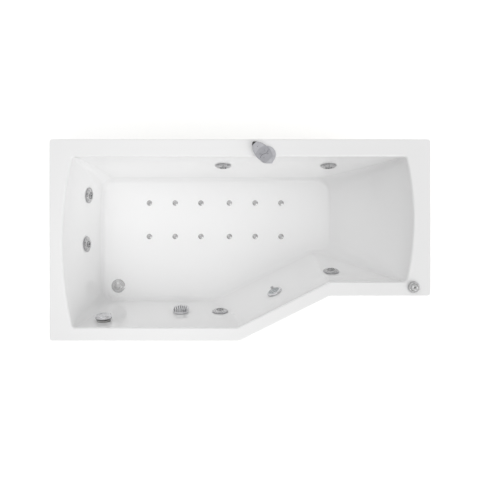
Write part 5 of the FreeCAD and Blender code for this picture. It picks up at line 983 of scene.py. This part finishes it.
def add_clips(clips, route, radius):
    """Spring clip round both ends of an air hose."""
    for ends in (route, route[::-1]):
        base = end_axes(ends, 6 * MM)
        section = profile((-0.1, -2.5), (0.9, -2.5), (0.9, 2.5), (-0.1, 2.5))
        clips.lathe([(radius + out, height) for out, height in section], base, 24, loop=True)
        ear = base @ axes((radius + 0.6 * MM, 0, 0), (0, 1, 0), (1, 0, 0))
        clips.slab(5 * MM, 5 * MM, 0, 4 * MM, ear, 1 * MM, 0.6 * MM)


def add_hoses():
    water, air, cable, clamps, clips = Shape(), Shape(), Shape(), Shape(), Shape()
    spiral = corrugated(WATER_HOSE_RADIUS, SPIRAL_DEPTH, SPIRAL_PITCH, SPIRAL_CUFF)
    for route in water_routes():
        water.tube(route, spiral, WATER_HOSE_BORE, SPIRAL_PITCH / 5, SPIRAL_PITCH, 20, 1.0)
        add_clamps(clamps, route, 9 * MM, WATER_HOSE_RADIUS)
    for route in air_routes():
        air.tube(route, smooth_wall(AIR_HOSE_RADIUS), AIR_HOSE_BORE, 5 * MM, 40 * MM, 16)
        add_clips(clips, route, AIR_HOSE_RADIUS)
    cable.tube(waste_route(CABLE_BESIDE, 49 * MM, 51 * MM), smooth_wall(CABLE_RADIUS), CABLE_RADIUS / 3,
               4 * MM, 4 * MM, 12)
    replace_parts(water.piece("water_hose_runs", "water_hose", smooth=60.0), "water_hoses")
    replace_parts(air.piece("air_hose_runs", "air_hose"), "jet_air_hoses")
    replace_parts(cable.piece("plug_cable_run", "fitting_black"), "plug_cable")
    ribbed = (
        ("suction_hose", suction_route(), SUCTION_HOSE_RADIUS, SUCTION_HOSE_BORE, 32 * MM),
        ("blower_hose", BLOWER_ROUTE, BLOWER_HOSE_RADIUS, BLOWER_HOSE_BORE, 28 * MM),
        ("overflow_hose", waste_route(0, 31 * MM, 33 * MM), WATER_HOSE_RADIUS, WATER_HOSE_BORE, 24 * MM),
    )
    for node, route, radius, bore, cuff in ribbed:
        run = Shape()
        run.tube(route, corrugated(radius, RIB_DEPTH, RIB_PITCH, cuff), bore, RIB_PITCH / 4, RIB_PITCH, 24)
        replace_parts(run.piece(f"{node}_run", "suction_hose", smooth=60.0), node)
        add_clamps(clamps, route, 12 * MM, radius)
    clamps.piece("hose_clamps", "fastener_steel")
    clips.piece("air_hose_clips", "fastener_steel")


# Machines and frame


def add_pump_details():
    base = axes(PUMP, (1, 0, 0), (0, 1, 0))
    screws, band, cowl, box, lid = Shape(), Shape(), Shape(), Shape(), Shape()
    front = axes(PUMP, (1, 0, 0), (0, -1, 0))
    for turn in turns(VOLUTE_SCREWS, 0.5):
        screw_head(screws, moved(front, *around(VOLUTE_RADIUS - 4.5 * MM, turn)), 4.2 * MM, 4 * MM)
    seam = VOLUTE_LENGTH - 10 * MM
    band.lathe([(VOLUTE_RADIUS - 0.5 * MM, seam), (VOLUTE_RADIUS + 2 * MM, seam + 1 * MM),
                (VOLUTE_RADIUS + 2 * MM, seam + 7 * MM), (VOLUTE_RADIUS - 0.5 * MM, seam + 8 * MM)],
               base, 56, loop=True)
    back = VOLUTE_LENGTH + MOTOR_LENGTH
    cowl.lathe(profile((60.5, -7.5), (62.5, -6), (62.5, 1), (58, 4.5), (20, 5.5)), moved(base, z=back), 56)
    for number in range(COWL_SLATS):
        slat = moved(base, turn=360 * number / COWL_SLATS) @ level_axes((38 * MM, 0, 0))
        cowl.slab(26 * MM, 3 * MM, back + 4 * MM, back + 7 * MM, slat, 1.4 * MM, 0.8 * MM)
    top = level_axes(TERMINAL_BOX)
    box.slab(58 * MM, 72 * MM, 0, 26 * MM, top, 6 * MM, 1.5 * MM)
    lid.slab(61 * MM, 75 * MM, 23 * MM, 30 * MM, top, 7 * MM, 2 * MM)
    gland = axes(TERMINAL_BOX + Vector((-29 * MM, 0, 13 * MM)), (0, 1, 0), (-1, 0, 0))
    box.lathe(profile((9, -1), (9, 5), (7.5, 6), (7.5, 12), (5, 14)), gland, 12)
    foot = level_axes(MOTOR_FOOT)
    for x, y in CORNERS:
        screw_head(screws, moved(top, x * 24 * MM, y * 31 * MM, 30 * MM), 2.8 * MM, 1.8 * MM)
        hex_bolt(screws, moved(foot, x * 55 * MM, y * 50 * MM), 5.5 * MM, 6 * MM)
    screws.piece("pump_screws", "fastener_steel")
    band.piece("pump_volute_seam", "fitting_black")
    cowl.piece("pump_fan_cowl", "fitting_black")
    box.piece("pump_terminal_box", "fitting_black")
    lid.piece("pump_terminal_lid", "fitting_grey")


def add_blower_details():
    ribs, screws = Shape(), Shape()
    base = level_axes(BLOWER)
    on_case = axes((BLOWER_RADIUS - 0.5 * MM, 0, 62 * MM), (0, 1, 0), (1, 0, 0))
    for number in range(BLOWER_RIBS):
        turn = 360 * number / BLOWER_RIBS
        if BLOWER_OUTLET_TURNS[0] <= turn <= BLOWER_OUTLET_TURNS[1]:
            continue
        ribs.slab(3 * MM, 96 * MM, 0, 3 * MM, moved(base, turn=turn) @ on_case, 1.2 * MM, 0.8 * MM)
    lid = BLOWER_HEIGHT - 22 * MM
    ribs.lathe([(BLOWER_RADIUS - 0.5 * MM, lid), (BLOWER_RADIUS + 2.4 * MM, lid + 0.8 * MM),
                (BLOWER_RADIUS + 2.4 * MM, lid + 6 * MM), (BLOWER_RADIUS - 0.5 * MM, lid + 7 * MM)],
               base, 64, loop=True)
    for turn in (45, 135, 225, 315):
        screw_head(screws, moved(base, turn=turn) @ level_axes((68 * MM, 0, BLOWER_HEIGHT)),
                   4 * MM, 2.4 * MM)
    ribs.piece("blower_ribs", "fitting_black")
    screws.piece("blower_screws", "fastener_steel")


def add_control_box_details():
    lid, screws, lamp = Shape(), Shape(), Shape()
    base = level_axes(CONTROL_BOX)
    length, width, height = CONTROL_BOX_SIZE
    lid.slab(length + 3 * MM, width + 3 * MM, height - 18 * MM, height + 2.5 * MM, base, 8 * MM, 2 * MM)
    lid.slab(length * 0.62, width * 0.5, height + 2 * MM, height + 3.2 * MM, base, 4 * MM, 0.5 * MM)
    for x, y in CORNERS:
        screw_head(screws, moved(base, x * (length / 2 - 9 * MM), y * (width / 2 - 9 * MM),
                                 height + 2.5 * MM), 3.4 * MM, 2 * MM)
    for number in range(3):
        lamp.lathe(profile((2.4, 3), (2.4, 4), (1.6, 4.8)),
                   moved(base, x=(number - 1) * 14 * MM, z=height), 16)
    lid.piece("control_box_lid", "fitting_grey", PALE_PLASTIC)
    screws.piece("control_box_screws", "fastener_steel")
    lamp.piece("control_box_lamps", "lens")


def add_shelf_screws():
    screws = Shape()
    for x, y in SHELF_SCREWS:
        screw_head(screws, level_axes((x, y, SHELF_TOP)), 4.5 * MM, 2 * MM)
    screws.piece("shelf_screws", "fastener_steel")


def add_bead(beads, start, end):
    """Weld bead with ripples along an edge."""
    start, end = Vector(start), Vector(end)
    points = [start.lerp(end, step / BEAD_STEPS) for step in range(BEAD_STEPS + 1)]
    radii = [(1.7 + 0.5 * math.sin(2.1 * step)) * MM for step in range(1, BEAD_STEPS)]
    beads.rod(points, [0.5 * MM] + radii + [0.5 * MM], 8)


def add_welds():
    beads = Shape()
    half = TUBE / 2
    for uprights, height in ((SIDE_UPRIGHTS, CROSS_RAIL_TOP), (END_UPRIGHTS, LONG_RAIL_TOP)):
        for x, y in uprights:
            corners = [(x + a * half, y + b * half, height) for a, b in CORNERS]
            for start, end in zip(corners, corners[1:] + corners[:1]):
                add_bead(beads, start, end)
    for x, front in CROSS_RAILS:
        for y in LONG_RAIL_YS:
            for side in (-half, half):
                add_bead(beads, (x - half, y + side, LONG_RAIL_TOP), (x + half, y + side, LONG_RAIL_TOP))
    beads.piece("frame_welds", "frame_steel")


def add_end_caps():
    caps = Shape()
    ends = []
    for x, front in CROSS_RAILS:
        ends += [((x, front, CROSS_RAIL_MIDDLE), (0, -1, 0)),
                 ((x, CROSS_RAIL_BACK, CROSS_RAIL_MIDDLE), (0, 1, 0))]
    for y in LONG_RAIL_YS:
        ends += [((LONG_RAIL_ENDS[0], y, LONG_RAIL_MIDDLE), (-1, 0, 0)),
                 ((LONG_RAIL_ENDS[1], y, LONG_RAIL_MIDDLE), (1, 0, 0))]
    for place, outward in ends:
        caps.slab(TUBE, TUBE, 0, 3 * MM, axes(place, (0, 0, 1), outward), 3 * MM, 1.2 * MM)
    caps.piece("tube_end_caps", "fitting_black")


# Stage, light and camera


def add_floor():
    mesh = bpy.data.meshes.new("floor")
    mesh.from_pydata([(x * FLOOR_REACH, y * FLOOR_REACH, 0) for x, y in CORNERS], [], [(0, 1, 2, 3)])
    floor = linked("floor", mesh)
    surface = Surface("floor_white")
    surface.color(surface.noise(0.7), grey(0.94), grey(0.96))
    surface.fill(surface.shader, {"Roughness": 0.9})
    surface.glow(FLOOR_GLOW)
    mesh.materials.append(surface.material)


def add_backdrop():
    """White wall far round the stage. It shows in the picture but gives and stops no light."""
    count = BACKDROP_SIDES
    rings = [around(BACKDROP_RADIUS, turn, z) for z in (0, BACKDROP_HEIGHT) for turn in turns(count)]
    mesh = bpy.data.meshes.new("backdrop")
    mesh.from_pydata(rings, [], [(k, (k + 1) % count, count + (k + 1) % count, count + k)
                                 for k in range(count)])
    backdrop = linked("backdrop", mesh)
    backdrop.visible_diffuse = False
    backdrop.visible_glossy = False
    backdrop.visible_shadow = False
    surface = Surface("backdrop_white")
    surface.glow(1.0)
    mesh.materials.append(surface.material)


def add_suns():
    for name, (toward_sun, angle, strength) in SUNS.items():
        light = bpy.data.lights.new(name, "SUN")
        light.angle = math.radians(angle)
        light.energy = strength
        linked(name, light).rotation_euler = Vector(toward_sun).to_track_quat("Z", "Y").to_euler()


def add_spot():
    """Soft light into the basin that no surface mirrors."""
    light = bpy.data.lights.new("basin_fill", "SPOT")
    light.spot_size = math.radians(SPOT_ANGLE)
    light.spot_blend = 1.0
    light.shadow_soft_size = SPOT_RADIUS
    light.energy = SPOT_POWER
    lamp = linked("basin_fill", light)
    lamp.visible_glossy = False
    lamp.location = SPOT_PLACE
    lamp.rotation_euler = (SPOT_TARGET - SPOT_PLACE).to_track_quat("-Z", "Y").to_euler()


def add_sky():
    world = bpy.data.worlds.new("studio")
    world.use_nodes = True
    sky = world.node_tree.nodes["Background"]
    sky.inputs["Color"].default_value = (1, 1, 1, 1)
    sky.inputs["Strength"].default_value = SKY_STRENGTH
    bpy.context.scene.world = world


def add_camera():
    camera = bpy.data.cameras.new("camera")
    camera.sensor_width = SENSOR
    camera.lens = SENSOR * CAMERA_ABOVE_RIM / PHOTO_WIDTH_AT_RIM
    rig = linked("camera", camera)
    rig.location = (0, 0, RIM_HEIGHT + CAMERA_ABOVE_RIM)
    bpy.context.scene.camera = rig


dress_nodes()
dress_faces("tub_shell", GLASS_FIBRE, is_shell_back)
dress_feet()
shade_light_lens()

add_jet_details()
add_nozzle_details()
add_suction_strainer()
add_overflow_details()
add_drain_details()
add_air_jet_details()
add_air_dial_details()
add_remote_details()
add_key_marks()
add_hoses()
add_pump_details()
add_blower_details()
add_control_box_details()
add_shelf_screws()
add_welds()
add_end_caps()

add_floor()
add_backdrop()
add_sky()
add_suns()
add_spot()
add_camera()
bpy.context.scene.view_settings.view_transform = "Standard"
